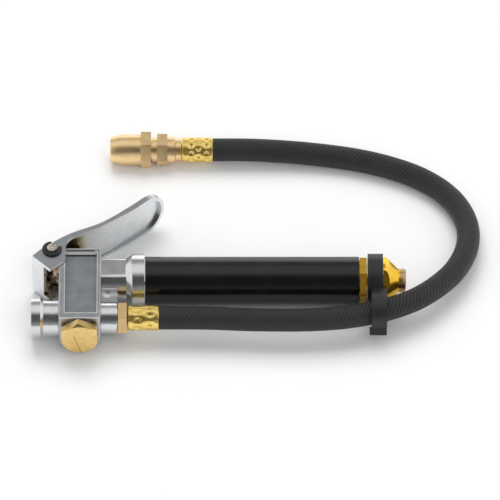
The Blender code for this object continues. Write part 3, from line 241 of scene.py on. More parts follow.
# Corners in tool space, in millimetres. The flat sides and their panels lie between two
# depths on either side of the handle's axis.
BLOCK = (15.2, -39.9, -11.0), (38.8, 15.2, 11.0)
PANEL = (18.6, -35.2), (36.5, 11.6)
PANEL_DEPTHS = 7.5, 10.0
SIDE_DEPTHS = 10.2, 11.0
RIMS = ((15.5, -39.4), (38.5, 14.8)), ((18.4, -35.4), (36.7, 11.8))
RIM_WIDTH = 0.5
# Painted shadow: a dark band over the panel's top rim, and a dark line under its ledge.
SLOT_SHADOW = (19.4, 11.85, 10.2), (34.9, 13.2, 11.0)
SLOT_SHADE = (19.0, 10.0, 8.0), (36.1, 11.25, 8.8)
# Painted light: the ledge's wall is pale and not metal, so that it shows bright.
LIT_LEDGE_WALL = (19.0, 11.1, 8.75), (36.1, 11.7, 10.3)
MARK_FLOOR = (38.8, -25.0, 1.8), (47.4, -11.0, 2.3)
MARK_WALL = (38.8, -25.0, 2.25), (47.4, -11.0, 2.5)
# Painted shade, tinted brown, on the body's step under the lever, darkest from a given height up.
BROWN_SHADED_STEP = (6.9, 3.0, -8.0), (15.4, 17.5, 8.0)
SHADE_TOP = 8.5

SATIN_GREYS = (0.43, 0.44, 0.45), (0.54, 0.55, 0.56)
POLISHED_GREYS = (0.64, 0.65, 0.66), (0.74, 0.75, 0.76)
MOULD_GREYS = (0.28, 0.295, 0.305), (0.385, 0.40, 0.415)
# Painted highlight along the rims of the flat sides.
RIM_HIGHLIGHT = (0.93, 0.94, 0.95)
# Painted shadow in the slot over the panel and under its ledge.
SHADOW_BLACK = (0.10, 0.10, 0.105)
# Painted light on the ledge's wall.
LEDGE_PAINTED_LIGHT = (0.72, 0.72, 0.71)
MARK_CREAM = (0.95, 0.93, 0.88)
MARK_SHADE = (0.16, 0.16, 0.15)


def geometry_group(name):
    """A modifier's node group, with the nodes at its two ends."""
    group = bpy.data.node_groups.new(name, "GeometryNodeTree")
    for way in ("INPUT", "OUTPUT"):
        group.interface.new_socket("Geometry", in_out=way, socket_type="NodeSocketGeometry")
    return group, group.nodes.new("NodeGroupInput"), group.nodes.new("NodeGroupOutput")


def shading_by_angle():
    """Smooth shading with sharp edges over an angle, kept after the modifiers before it."""
    group, start, end = geometry_group("shade by angle")
    faces = group.nodes.new("GeometryNodeSetShadeSmooth")
    edges = group.nodes.new("GeometryNodeSetShadeSmooth")
    edges.domain = "EDGE"
    angle = group.nodes.new("GeometryNodeInputMeshEdgeAngle")
    flat = group.nodes.new("FunctionNodeCompare")
    flat.operation = "LESS_EQUAL"
    flat.inputs[1].default_value = CREASE_ANGLE
    group.links.new(angle.outputs["Unsigned Angle"], flat.inputs[0])
    group.links.new(start.outputs[0], faces.inputs["Geometry"])
    group.links.new(faces.outputs["Geometry"], edges.inputs["Geometry"])
    group.links.new(flat.outputs["Result"], edges.inputs["Shade Smooth"])
    group.links.new(edges.outputs["Geometry"], end.inputs[0])
    return group


angle_shading = shading_by_angle()


def dress(name, look, edge=PLAIN_EDGE):
    """Give a CAD node its finish and slightly rounded edges."""
    piece = nodes[name]
    piece.data.materials.clear()
    piece.data.materials.append(look)
    for face in piece.data.polygons:
        face.material_index = 0
    weld = piece.modifiers.new("one skin", "WELD")
    weld.merge_threshold = WELD_GAP
    flats = piece.modifiers.new("whole faces", "DECIMATE")
    flats.decimate_type = "DISSOLVE"
    flats.angle_limit = FLAT_ANGLE
    if edge:
        bevel = piece.modifiers.new("round edges", "BEVEL")
        bevel.width = edge
        bevel.segments = EDGE_STEPS
        bevel.limit_method = "ANGLE"
        bevel.angle_limit = BEVEL_ANGLE
        bevel.use_clamp_overlap = True
    shade = piece.modifiers.new("shading", "NODES")
    shade.node_group = angle_shading
    level = piece.modifiers.new("level faces", "WEIGHTED_NORMAL")
    level.keep_sharp = True


def shader_group(name, inputs, outputs):
    """A shader node group with its sockets, as (name, kind) pairs, and its two end nodes."""
    group = bpy.data.node_groups.new(name, "ShaderNodeTree")
    for way, sockets in (("INPUT", inputs), ("OUTPUT", outputs)):
        for socket, kind in sockets:
            group.interface.new_socket(socket, in_out=way, socket_type=f"NodeSocket{kind}")
    return group, put(group, "NodeGroupInput"), put(group, "NodeGroupOutput")


def fine_grain():
    """Cast or rolled metal skin: a slow cloud for tone and a fine tooth for relief."""
    group, start, end = shader_group("metal skin",
                                     [("Cloud Scale", "Float"), ("Tooth Scale", "Float")],
                                     [("Cloud", "Float"), ("Tooth", "Float")])
    for index, detail in enumerate((4.0, 2.0)):
        pattern = put(group, "ShaderNodeTexNoise", Detail=detail, Roughness=0.6)
        group.links.new(own_place(group), pattern.inputs["Vector"])
        group.links.new(start.outputs[index], pattern.inputs["Scale"])
        group.links.new(pattern.outputs["Fac"], end.inputs[index])
    return group


def in_box():
    """A soft mask that is 1 inside a box of the piece's own space."""
    group, start, end = shader_group("inside box",
                                     [("Centre", "Vector"), ("Half Size", "Vector")],
                                     [("Mask", "Float")])
    shift = put(group, "ShaderNodeVectorMath", operation="SUBTRACT")
    far = put(group, "ShaderNodeVectorMath", operation="ABSOLUTE")
    room = put(group, "ShaderNodeVectorMath", operation="SUBTRACT")
    group.links.new(own_place(group), shift.inputs[0])
    group.links.new(start.outputs["Centre"], shift.inputs[1])
    group.links.new(shift.outputs[0], far.inputs[0])
    group.links.new(start.outputs["Half Size"], room.inputs[0])
    group.links.new(far.outputs[0], room.inputs[1])
    x, y, z = split(group, room.outputs[0])
    least = sums(group, "MINIMUM", x, sums(group, "MINIMUM", y, z))
    clamp = put(group, "ShaderNodeClamp")
    group.links.new(sums(group, "ADD", sums(group, "MULTIPLY", least, 1 / MASK_SOFTNESS), 0.5),
                    clamp.inputs["Value"])
    group.links.new(clamp.outputs[0], end.inputs["Mask"])
    return group


def painted_brown_shade():
    """Painted shade, tinted brown: near black from a given height up and paler below it."""
    group, start, end = shader_group("brown painted shade", [("Top", "Float")], [("Colour", "Color")])
    patches = noise(group, Scale=270.0, Detail=3.0, Roughness=0.5)
    depth = sums(group, "SUBTRACT", start.outputs["Top"], split(group, own_place(group))["Y"])
    wash = sums(group, "ADD", patches, sums(group, "MULTIPLY", depth, 14.0))
    colour = ramp(group, wash, (0.36, (0.03, 0.018, 0.01)), (0.45, (0.26, 0.155, 0.085)),
                  (0.52, (0.58, 0.46, 0.34)), (0.60, (0.88, 0.84, 0.76)))
    group.links.new(colour, end.inputs["Colour"])
    return group


metal_skin = fine_grain()
inside_box = in_box()
brown_shade_group = painted_brown_shade()


def skin_nodes(tree, cloud_scale, tooth_scale):
    """The cloud and the tooth of a metal's skin."""
    skin = put(tree, "ShaderNodeGroup", node_tree=metal_skin)
    skin.inputs["Cloud Scale"].default_value = cloud_scale
    skin.inputs["Tooth Scale"].default_value = tooth_scale
    return skin.outputs["Cloud"], skin.outputs["Tooth"]


def box_mask(tree, low, high):
    """Where a surface lies between two corners given in tool space."""
    low, high = tool_point(*low), tool_point(*high)
    mask = put(tree, "ShaderNodeGroup", node_tree=inside_box)
    mask.inputs["Centre"].default_value = (low + high) / 2
    mask.inputs["Half Size"].default_value = (high - low) / 2
    return mask.outputs["Mask"]


def brown_shade_colour(tree):
    """The colour of the painted brown shade between the lever and the body."""
    brown_shade_node = put(tree, "ShaderNodeGroup", node_tree=brown_shade_group)
    brown_shade_node.inputs["Top"].default_value = tool_point(0, SHADE_TOP, 0).y
    return brown_shade_node.outputs["Colour"]


def blend(tree, share, first, second):
    """Mix two colours by a mask."""
    mix = put(tree, "ShaderNodeMix", data_type="RGBA")
    tree.links.new(share, mix.inputs["Factor"])
    pair = [slot for slot in mix.inputs if slot.enabled][1:]
    for slot, value in zip(pair, (first, second)):
        if isinstance(value, bpy.types.NodeSocket):
            tree.links.new(value, slot)
        else:
            slot.default_value = (*value, 1)
    return next(slot for slot in mix.outputs if slot.enabled)


def weighed(tree, first, first_share, second, second_share):
    """Two values added up, each times its own share."""
    return sums(tree, "ADD", sums(tree, "MULTIPLY", first, first_share),
                sums(tree, "MULTIPLY", second, second_share))


def relief(tree, shader, height, strength, distance=0.1 * MM):
    """Raise a shader's surface by a height."""
    bump = put(tree, "ShaderNodeBump", Strength=strength, Distance=distance)
    tree.links.new(height, bump.inputs["Height"])
    feed(tree, shader, Normal=bump.outputs[0])


def both_sides(tree, low, high, inner, outer):
    """A mask on the body's two flat sides, between two depths from the handle's axis."""
    return sums(tree, "MAXIMUM", box_mask(tree, (*low, inner), (*high, outer)),
                box_mask(tree, (*low, -outer), (*high, -inner)))


def painted_rim_highlight(tree, low, high):
    """A thin painted highlight along the rims of the body's flat sides."""
    inside = ((low[0] + RIM_WIDTH, low[1] + RIM_WIDTH), (high[0] - RIM_WIDTH, high[1] - RIM_WIDTH))
    return sums(tree, "SUBTRACT", both_sides(tree, low, high, *SIDE_DEPTHS),
                both_sides(tree, *inside, *SIDE_DEPTHS))


def body_look():
    """Plated zinc: satin flats, polished rounds and grey panels, with painted highlights on the
    rims, painted shadow in the slot, painted light on the ledge's wall and painted brown shade under
    the lever.
    """
    look, tree, shader = new_look("plated_casting")
    cloud, tooth = skin_nodes(tree, cloud_scale=160.0, tooth_scale=2800.0)
    block = box_mask(tree, *BLOCK)
    panel = both_sides(tree, *PANEL, *PANEL_DEPTHS)

    def by_face(*tones):
        """Tones for the polished rounds, the block's satin flats and its grey panels."""
        polished, satin, mould = (ramp(tree, cloud, (0.3, low), (0.7, high)) for low, high in tones)
        return blend(tree, panel, blend(tree, block, polished, satin), mould)

    colour = by_face(POLISHED_GREYS, SATIN_GREYS, MOULD_GREYS)
    # Painted highlight: thin pale lines along the rims of the flat sides.
    rim_highlights = sums(tree, "MAXIMUM", *(painted_rim_highlight(tree, *rim) for rim in RIMS))
    colour = blend(tree, rim_highlights, colour, RIM_HIGHLIGHT)
    # Painted shadow in the slot and under the ledge, painted light on the ledge's wall, and on the
    # round mark a pale floor with painted shade on its wall.
    for box, touch in ((SLOT_SHADOW, SHADOW_BLACK), (SLOT_SHADE, SHADOW_BLACK), (LIT_LEDGE_WALL, LEDGE_PAINTED_LIGHT),
                       (MARK_FLOOR, MARK_CREAM), (MARK_WALL, MARK_SHADE)):
        colour = blend(tree, box_mask(tree, *box), colour, touch)
    # Painted brown shade on the step under the lever.
    colour = blend(tree, box_mask(tree, *BROWN_SHADED_STEP), colour, brown_shade_colour(tree))
    feed(tree, shader, Base_Color=colour,
         # The ledge's wall is not metal, for its painted light.
         Metallic=sums(tree, "SUBTRACT", 1.0, box_mask(tree, *LIT_LEDGE_WALL)),
         Roughness=by_face((0.12, 0.2), (0.30, 0.38), (0.5, 0.62)))
    waves = noise(tree, Scale=330.0, Detail=1.0)
    coarse = sums(tree, "ADD", sums(tree, "MULTIPLY", panel, 0.8), 0.15)
    relief(tree, shader, weighed(tree, tooth, coarse, waves, 0.9), 0.5)
    return look


dress("valve_body", body_look(), BODY_EDGE)

# ------------------------------------------------------------------ valve in the body
# A brass bush with a rubber ring, a steel stem, a brass poppet with a rubber face and a spring
# wound from steel wire. All of them go in from below.

FINE_EDGE = 0.1 * MM
VALVE_X = 27.0                        # the valve's axis, along the handle, in millimetres
SPRING_SEAT = tool_point(VALVE_X, -39.0, 0)
SPRING_TOP = tool_point(VALVE_X, -23.5, 0)
COIL_STEPS = 28
WIRE_SIDES = 10
CHART_LENGTH = 0.1                    # of a swept line, in metres, on one unit of its UV map
DRAWN_CREASE = math.radians(38)


def lathe_rings():
    """The fine rings that a tool cuts in turned metal, by the place along its axis."""
    group, start, end = shader_group("lathe rings", [("Along", "Float")], [("Rings", "Float")])
    rings = put(group, "ShaderNodeTexNoise", noise_dimensions="1D", Scale=5200.0, Detail=3.0)
    group.links.new(start.outputs["Along"], rings.inputs["W"])
    group.links.new(rings.outputs["Fac"], end.inputs["Rings"])
    return group


turned_rings = lathe_rings()


def turned_metal_look(name, dark, light, rough, axis, cut=0.12):
    """Machined metal with the fine rings of the lathe round one axis of the frame."""
    look, tree, shader = new_look(name, Metallic=1.0)
    cloud, tooth = skin_nodes(tree, cloud_scale=220.0, tooth_scale=4200.0)
    lathe = put(tree, "ShaderNodeGroup", node_tree=turned_rings)
    tree.links.new(split(tree, own_place(tree))[axis], lathe.inputs["Along"])
    rings = lathe.outputs["Rings"]
    tone = weighed(tree, cloud, 0.6, rings, 0.4)
    feed(tree, shader, Base_Color=ramp(tree, tone, (0.3, dark), (0.7, light)),
         Roughness=ramp(tree, tone, (0.3, rough), (0.7, rough + 0.1)))
    relief(tree, shader, weighed(tree, rings, 0.7, tooth, 0.3), cut, distance=0.05 * MM)
    return look


def rubber_look(name, dark, light, ribs=None):
    """Black rubber with a dull bloom. Ribs is a function that draws them, for the hose."""
    look, tree, shader = new_look(name, Specular_IOR_Level=0.4)
    bloom = noise(tree, Scale=90.0, Detail=4.0, Roughness=0.6)
    height = sums(tree, "MULTIPLY", noise(tree, Scale=2600.0, Detail=2.0), 0.35)
    tone = bloom
    if ribs:
        rib_height_and_crease_shade = ribs(tree)
        height = sums(tree, "ADD", height, sums(tree, "MULTIPLY", rib_height_and_crease_shade, 1.6))
        # The rib tops are lighter than the creases between them: painted shade in the creases.
        tone = weighed(tree, bloom, 0.45, rib_height_and_crease_shade, 0.55)
    feed(tree, shader, Base_Color=ramp(tree, tone, (0.25, dark), (0.8, light)),
         Roughness=ramp(tree, bloom, (0.3, 0.46), (0.75, 0.6)))
    relief(tree, shader, height, 0.9, distance=0.25 * MM)
    return look


def link_piece(name, shape, look):
    """A finished mesh as a piece that rides on the tool."""
    mesh = bpy.data.meshes.new(name)
    bmesh.ops.recalc_face_normals(shape, faces=shape.faces)
    shape.to_mesh(mesh)
    shape.free()
    mesh.materials.append(look)
    mesh.shade_smooth()
    mesh.set_sharp_from_angle(angle=DRAWN_CREASE)
    piece = placed(name, mesh)
    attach(piece, "tool")
    return piece


def swept(line, radius, sides):
    """A round tube along a line, with closed ends, and its length and turn kept as a UV map."""
    shape = bmesh.new()
    chart = shape.loops.layers.uv.new("length_and_turn")
    rings, lengths, along = [], [], 0.0
    side = Vector((0, 0, 1))
    for index, point in enumerate(line):
        before, after = line[max(index - 1, 0)], line[min(index + 1, len(line) - 1)]
        ahead = (after - before).normalized()
        side = (side - ahead * side.dot(ahead)).normalized()
        other = ahead.cross(side)
        along += (point - before).length
        lengths.append(along)
        rings.append([shape.verts.new(point + radius * (
            side * math.cos(math.tau * turn / sides) + other * math.sin(math.tau * turn / sides)))
            for turn in range(sides)])
    for index, (first, second) in enumerate(zip(rings, rings[1:])):
        for turn in range(sides):
            after = (turn + 1) % sides
            face = shape.faces.new((first[turn], first[after], second[after], second[turn]))
            marks = ((index, turn), (index, turn + 1), (index + 1, turn + 1), (index + 1, turn))
            for loop, (ring, step) in zip(face.loops, marks):
                loop[chart].uv = (lengths[ring] / CHART_LENGTH, step / sides)
    shape.faces.new(rings[0])
    shape.faces.new(rings[-1])
    return shape


def wound(name, start, end, radius, wire_r, turns, axis, look):
    """A spring drawn from its own wire, with a smooth coil."""
    across, up = {"X": (Vector((0, 0, -1)), Vector((0, 1, 0))),
                  "Y": (Vector((1, 0, 0)), Vector((0, 0, -1)))}[axis]
    ahead = (end - start).normalized()
    rise = (end - start).length - 2 * wire_r
    line = []
    for step in range(turns * COIL_STEPS + 1):
        angle = math.tau * step / COIL_STEPS
        along = wire_r + rise * step / (turns * COIL_STEPS)
        line.append(start + ahead * along
                    + radius * (across * math.cos(angle) + up * math.sin(angle)))
    return link_piece(name, swept(line, wire_r, WIRE_SIDES), look)


spring_steel = turned_metal_look("spring_steel", dark=(0.40, 0.40, 0.40),
                                 light=(0.52, 0.51, 0.50), rough=0.28, axis="X")
valve_steel = turned_metal_look("valve_steel", dark=(0.50, 0.49, 0.47),
                                light=(0.62, 0.61, 0.58), rough=0.25, axis="Y")
valve_brass = turned_metal_look("valve_brass", dark=(0.60, 0.42, 0.18),
                                light=(0.76, 0.55, 0.27), rough=0.24, axis="Y")
seal_rubber = rubber_look("seal_rubber", dark=(0.012, 0.012, 0.012), light=(0.025, 0.025, 0.025))
dress("stem_bush", valve_brass)
dress("stem_ring", seal_rubber, 0)
dress("valve_stem", valve_steel, FINE_EDGE)
dress("valve_seal", seal_rubber, FINE_EDGE)
dress("valve_poppet", valve_brass, FINE_EDGE)
valve_coil = wound("valve_return_spring", SPRING_SEAT, SPRING_TOP, radius=3.7 * MM,
                   wire_r=0.5 * MM, turns=6, axis="Y", look=spring_steel)
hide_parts("valve_spring")
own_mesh(valve_coil)

# ------------------------------------------------------------------ plug under the valve
# Turned from hexagonal brass bar and screwed up against a thin steel washer. The corners of
# its head are turned down to the circle of its face, which has a line scribed across it.

# Sizes, and places along the valve's axis from the outer face inwards, in millimetres.
PLUG_FLATS = 19.6
PLUG_FACE_R = 9.7
PLUG_SHANK_R = 6.0
PLUG_BORE_R = 4.7
PLUG_FACE = -45.8
PLUG_HEAD = -40.8
PLUG_FLOOR = -39.3
PLUG_END = -32.8

PLUG_TURN = math.radians(34)
SIXTH_TURN = math.radians(60)
PLUG_SIDES = 180
SCRIBED_LINE = (23.9, PLUG_FACE, 2.9), (27.7, PLUG_FACE, -9.3)
SCRIBED_HALF = 0.2 * MM
SCRIBED_ON = (15.0, PLUG_FACE - 0.7, -13.0), (39.0, PLUG_FACE + 0.2, 13.0)
POLE_GAP = 0.001 * MM


def lofted(name, rings, sides, axis, at, look, closed=False):
    """A skin over rings round an axis. Each ring gives its place and radius at a turn."""
    ahead, across = {"X": (Vector((1, 0, 0)), Vector((0, 1, 0))),
                     "Y": (Vector((0, 1, 0)), Vector((1, 0, 0)))}[axis]
    up = Vector((0, 0, 1))
    shape = bmesh.new()
    loops = []
    for ring in rings:
        loops.append([])
        for step in range(sides):
            turn = math.tau * step / sides
            along, radius = ring(turn)
            loops[-1].append(shape.verts.new(
                at + ahead * along + radius * (across * math.cos(turn) + up * math.sin(turn))))
    for first, second in zip(loops, loops[1:] + (loops[:1] if closed else [])):
        for step in range(sides):
            after = (step + 1) % sides
            shape.faces.new((first[step], first[after], second[after], second[step]))
    bmesh.ops.remove_doubles(shape, verts=shape.verts, dist=POLE_GAP)
    return link_piece(name, shape, look)


def rounds(*pairs):
    """Plain round rings from (place, radius) pairs in millimetres."""
    return [lambda turn, pair=pair: (pair[0] * MM, pair[1] * MM) for pair in pairs]


def measured_along(tree, vector, direction):
    """How far a vector reaches along a direction."""
    made = put(tree, "ShaderNodeVectorMath", operation="DOT_PRODUCT")
    tree.links.new(vector, made.inputs[0])
    made.inputs[1].default_value = direction
    return made.outputs["Value"]


def plug_look():
    """Warm brass with a thin line scribed across the head's face."""
    look, tree, shader = new_look("plug_brass", Metallic=1.0)
    cloud, tooth = skin_nodes(tree, cloud_scale=260.0, tooth_scale=3800.0)
    brass = ramp(tree, cloud, (0.25, (0.74, 0.50, 0.18)), (0.75, (0.90, 0.65, 0.27)))
    start, end = SCRIBED_LINE
    run = (Vector(end) - Vector(start)).normalized()
    from_start = put(tree, "ShaderNodeVectorMath", operation="SUBTRACT")
    tree.links.new(own_place(tree), from_start.inputs[0])
    from_start.inputs[1].default_value = tool_point(*start)
    aside = measured_along(tree, from_start.outputs[0], (run.z, 0, -run.x))
    along = measured_along(tree, from_start.outputs[0], run)
    line = sums(tree, "MULTIPLY",
                sums(tree, "LESS_THAN", sums(tree, "ABSOLUTE", aside), SCRIBED_HALF),
                sums(tree, "GREATER_THAN", along, 0.0))
    line = sums(tree, "MULTIPLY", line, box_mask(tree, *SCRIBED_ON))
    feed(tree, shader, Base_Color=blend(tree, line, brass, (0.30, 0.19, 0.08)),
         Roughness=ramp(tree, cloud, (0.3, 0.22), (0.7, 0.36)))
    relief(tree, shader, sums(tree, "SUBTRACT", sums(tree, "MULTIPLY", tooth, 0.3), line), 0.3)
    return look


def plug_side(turn):
    """Radius of the hexagon at a turn; one corner points 4 degrees past the top."""
    return PLUG_FLATS * MM / 2 / math.cos((turn - PLUG_TURN) % SIXTH_TURN - SIXTH_TURN / 2)


def plug_corner(turn):
    """The head's rim, which falls back from its face as the hexagon goes past the circle."""
    return PLUG_FACE * MM + max(0, plug_side(turn) - PLUG_FACE_R * MM), plug_side(turn)


plug_rings = [*rounds((PLUG_FACE, 0), (PLUG_FACE, PLUG_FACE_R)),
              plug_corner,
              lambda turn: (PLUG_HEAD * MM, plug_side(turn)),
              *rounds((PLUG_HEAD, PLUG_SHANK_R), (PLUG_END, PLUG_SHANK_R), (PLUG_END, PLUG_BORE_R),
                      (PLUG_FLOOR, PLUG_BORE_R), (PLUG_FLOOR, 0))]
hexagon_plug = lofted("hexagon_plug", plug_rings, PLUG_SIDES, "Y", tool_point(VALVE_X, 0, 0),
                      plug_look())
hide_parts("valve_plug")
dress("plug_washer", valve_steel, FINE_EDGE)

# ------------------------------------------------------------------ lever
# The lever is a channel-shaped zinc casting, ground to a satin face. Its inside is darker with
# painted shade, near black and tinted brown where it is rooted over the valve.

LEVER_EDGE = 0.4 * MM
ROOT_LENGTH = 12 * MM

# Places in tool space, in millimetres.
ROOT_FROM = 20.0
FAR_WALL_UNDER = -5.0
NEAR_CHEEK_OVER = 11.5
UNDERSIDE = (15.4, 5.0, -11.2), (40.0, 34.0, 10.4)
# Painted brown shade on the lever's underside over the lug.
BROWN_SHADED_ROOT = (6.9, -6.0, -11.2), (15.4, 12.5, 10.4)


def lever_look():
    """Satin zinc, with painted shade on its near cheek and far wall, and painted shade tinted brown
    under it near the root.
    """
    look, tree, shader = new_look("satin_lever", Metallic=1.0)
    cloud, tooth = skin_nodes(tree, cloud_scale=130.0, tooth_scale=3000.0)
    place = split(tree, own_place(tree))
    facing = split(tree, put(tree, "ShaderNodeNewGeometry").outputs["True Normal"])
    satin = ramp(tree, cloud, (0.25, (0.70, 0.715, 0.725)), (0.75, (0.84, 0.85, 0.86)))
    # Painted shade: the far wall's faces that look up and the near cheek's outer face are darker
    # greys.
    far_wall_shade = sums(tree, "MULTIPLY", sums(tree, "GREATER_THAN", facing["Z"], 0.35),
                    sums(tree, "LESS_THAN", place["Z"], tool_point(0, 0, FAR_WALL_UNDER).z))
    colour = blend(tree, far_wall_shade, satin, (0.34, 0.36, 0.36))
    near_cheek_shade = sums(tree, "MULTIPLY", sums(tree, "GREATER_THAN", facing["Z"], 0.9),
                 sums(tree, "GREATER_THAN", place["Z"], tool_point(0, 0, NEAR_CHEEK_OVER).z))
    colour = blend(tree, near_cheek_shade, colour, (0.47, 0.48, 0.50))
    # Painted shade on the underside: near black at the root over the valve, tinted brown, and paler
    # away from it.
    from_root = sums(tree, "SUBTRACT", place["X"], tool_point(ROOT_FROM, 0, 0).x)
    root = sums(tree, "ADD", sums(tree, "DIVIDE", from_root, ROOT_LENGTH),
                sums(tree, "SUBTRACT", cloud, 0.5))
    root_shade_colour = ramp(tree, root, (0.1, (0.015, 0.01, 0.006)), (0.35, (0.10, 0.06, 0.03)),
                (0.6, (0.55, 0.46, 0.27)), (0.85, (0.74, 0.73, 0.66)))
    root_shade_colour = blend(tree, ramp(tree, root, (0.85, 0.0), (1.0, 1.0)), root_shade_colour, colour)
    below = sums(tree, "LESS_THAN", facing["Y"], 0.3)
    under = sums(tree, "MULTIPLY", below, box_mask(tree, *UNDERSIDE))
    colour = blend(tree, under, colour, root_shade_colour)
    # Painted brown shade on the underside over the lug, as on the body's step.
    root_shade_mask = sums(tree, "MULTIPLY", below, box_mask(tree, *BROWN_SHADED_ROOT))
    feed(tree, shader, Base_Color=blend(tree, root_shade_mask, colour, brown_shade_colour(tree)),
         Roughness=ramp(tree, cloud, (0.3, 0.26), (0.7, 0.36)))
    relief(tree, shader, tooth, 0.15)
    return look


dress("lever", lever_look(), LEVER_EDGE)

# ------------------------------------------------------------------ pivot pin and its ring
# The lever turns on a steel pin, pushed through the body's lug from the far side. Its near end
# is serrated, and an open ring of blackened spring steel holds it there.

RING_EDGE = 0.12 * MM


def cells(tree, **values):
    """How far each point lies from the nearest of many scattered points."""
    made = put(tree, "ShaderNodeTexVoronoi", **values)
    tree.links.new(own_place(tree), made.inputs["Vector"])
    return made.outputs["Distance"]


def pin_look():
    """Steel with the sharp teeth of its serrated end."""
    look, tree, shader = new_look("serrated_steel", Metallic=1.0)
    teeth = cells(tree, Scale=1100.0)
    feed(tree, shader,
         Base_Color=ramp(tree, teeth, (0.1, (0.95, 0.91, 0.84)), (0.6, (0.40, 0.34, 0.28))),
         Roughness=ramp(tree, teeth, (0.2, 0.2), (0.6, 0.4)))
    relief(tree, shader, teeth, 0.8, distance=0.4 * MM)
    return look


def black_finish(name, dark, light, rough, tooth_scale, strength, metal=0.0):
    """A black surface with a slow variation in shine and a fine tooth."""
    look, tree, shader = new_look(name, Metallic=metal, Specular_IOR_Level=0.47)
    cloud, tooth = skin_nodes(tree, 70.0, tooth_scale)
    feed(tree, shader, Base_Color=ramp(tree, cloud, (0.3, dark), (0.7, light)),
         Roughness=ramp(tree, cloud, (0.3, rough[0]), (0.7, rough[1])))
    relief(tree, shader, tooth, strength)
    return look


black_oxide = black_finish("black_oxide", dark=(0.02, 0.02, 0.02), light=(0.05, 0.05, 0.05),
                           rough=(0.3, 0.42), tooth_scale=3000.0, strength=0.1, metal=0.6)
dress("pivot_pin", pin_look())
dress("retaining_ring", black_oxide, RING_EDGE)

# ------------------------------------------------------------------ handle
# A drawn tube with a smooth black finish, pressed into the body's collar. A clear plastic
# window is let into its far side.

BROAD_EDGE = 0.2 * MM


def lens_look():
    """Clear plastic with a faint waviness."""
    look, tree, shader = new_look("clear_window", Base_Color=(0.93, 0.95, 0.95, 1),
                                  Transmission_Weight=1.0, IOR=1.49)
    cloud, tooth = skin_nodes(tree, cloud_scale=80.0, tooth_scale=900.0)
    feed(tree, shader, Roughness=ramp(tree, cloud, (0.3, 0.03), (0.7, 0.08)))
    relief(tree, shader, tooth, 0.02)
    return look


handle_black = black_finish("handle_black", dark=(0.002, 0.002, 0.0022),
                            light=(0.005, 0.005, 0.0055), rough=(0.17, 0.26),
                            tooth_scale=2200.0, strength=0.06)
dress("handle_tube", handle_black, BROAD_EDGE)
dress("window_lens", lens_look(), FINE_EDGE)

# ------------------------------------------------------------------ gauge in the handle
# Air from the gland pushes a steel piston along a brass cylinder, against a wound steel
# spring. The piston carries a white plastic drum along under the window.

GAUGE_SPRING_SEAT = tool_point(171.8, 0, 0)
GAUGE_SPRING_TOP = tool_point(108.8, 0, 0)
RED_FROM = 117.2                      # along the handle, in millimetres


def drum_look():
    """Off-white moulded plastic with a printed red band that shows how far it has moved."""
    look, tree, shader = new_look("drum_plastic")
    cloud = noise(tree, Scale=60.0, Detail=2.0)
    white = ramp(tree, cloud, (0.3, (0.74, 0.72, 0.66)), (0.7, (0.82, 0.80, 0.75)))
    band = sums(tree, "GREATER_THAN", split(tree, own_place(tree))["X"],
                tool_point(RED_FROM, 0, 0).x)
    feed(tree, shader, Base_Color=blend(tree, band, white, (0.55, 0.03, 0.02)),
         Roughness=ramp(tree, cloud, (0.3, 0.35), (0.7, 0.45)))
    return look


gauge_brass = turned_metal_look("gauge_brass", dark=(0.60, 0.42, 0.18),
                                light=(0.74, 0.54, 0.27), rough=0.25, axis="X")
gauge_steel = turned_metal_look("gauge_steel", dark=(0.50, 0.49, 0.47),
                                light=(0.62, 0.61, 0.58), rough=0.25, axis="X")
dress("gauge_gland", gauge_brass)
dress("gland_ring", seal_rubber, 0)
dress("gauge_cylinder", gauge_brass)
dress("gauge_piston", gauge_steel)
dress("indicator_drum", drum_look())
gauge_coil = wound("gauge_load_spring", GAUGE_SPRING_SEAT, GAUGE_SPRING_TOP, radius=6.0 * MM,
                   wire_r=0.55 * MM, turns=12, axis="X", look=spring_steel)
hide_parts("gauge_spring")
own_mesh(gauge_coil)

# ------------------------------------------------------------------ tail of the handle
# Gold-coloured turned pieces: a hexagonal collar screwed into the tube, a cap with a coned
# hexagon, and a button that vents the gauge. A black moulded strap with a hook for the hose
# is held between the collar and the cap.

TIGHTENED_TO = {"tail_collar": math.radians(-14), "tail_cap": math.radians(-22)}

# The vent button's places along the handle and radii, in millimetres, from its middle out.
BUTTON_PROFILE = [(205.7, 0), (205.7, 5.3), (205.4, 6.1), (204.8, 6.5), (202.75, 6.5),
                  (202.65, 6.4), (202.65, 1.6), (198.8, 1.6), (198.8, 0)]

BUTTON_SIDES = 48
CLIP_EDGE = 0.3 * MM


def gold_look():
    """Bright amber-gold plating on turned metal."""
    look, tree, shader = new_look("amber_gold", Metallic=1.0)
    cloud, tooth = skin_nodes(tree, cloud_scale=240.0, tooth_scale=4200.0)
    feed(tree, shader,
         Base_Color=ramp(tree, cloud, (0.25, (0.88, 0.48, 0.03)), (0.75, (1.0, 0.62, 0.08))),
         Roughness=ramp(tree, cloud, (0.3, 0.16), (0.7, 0.26)))
    relief(tree, shader, tooth, 0.06)
    return look


def screwed_round(piece, angle):
    """Turn a screwed piece about the handle's axis, to where it was tightened."""
    group, start, end = geometry_group("screwed round")
    turned = group.nodes.new("GeometryNodeTransform")
    turned.inputs["Rotation"].default_value = (angle, 0, 0)
    axis = tool_point(0, 0, 0)
    turned.inputs["Translation"].default_value = axis - Matrix.Rotation(angle, 3, "X") @ axis
    group.links.new(start.outputs[0], turned.inputs["Geometry"])
    group.links.new(turned.outputs["Geometry"], end.inputs[0])
    piece.modifiers.new("screwed round", "NODES").node_group = group


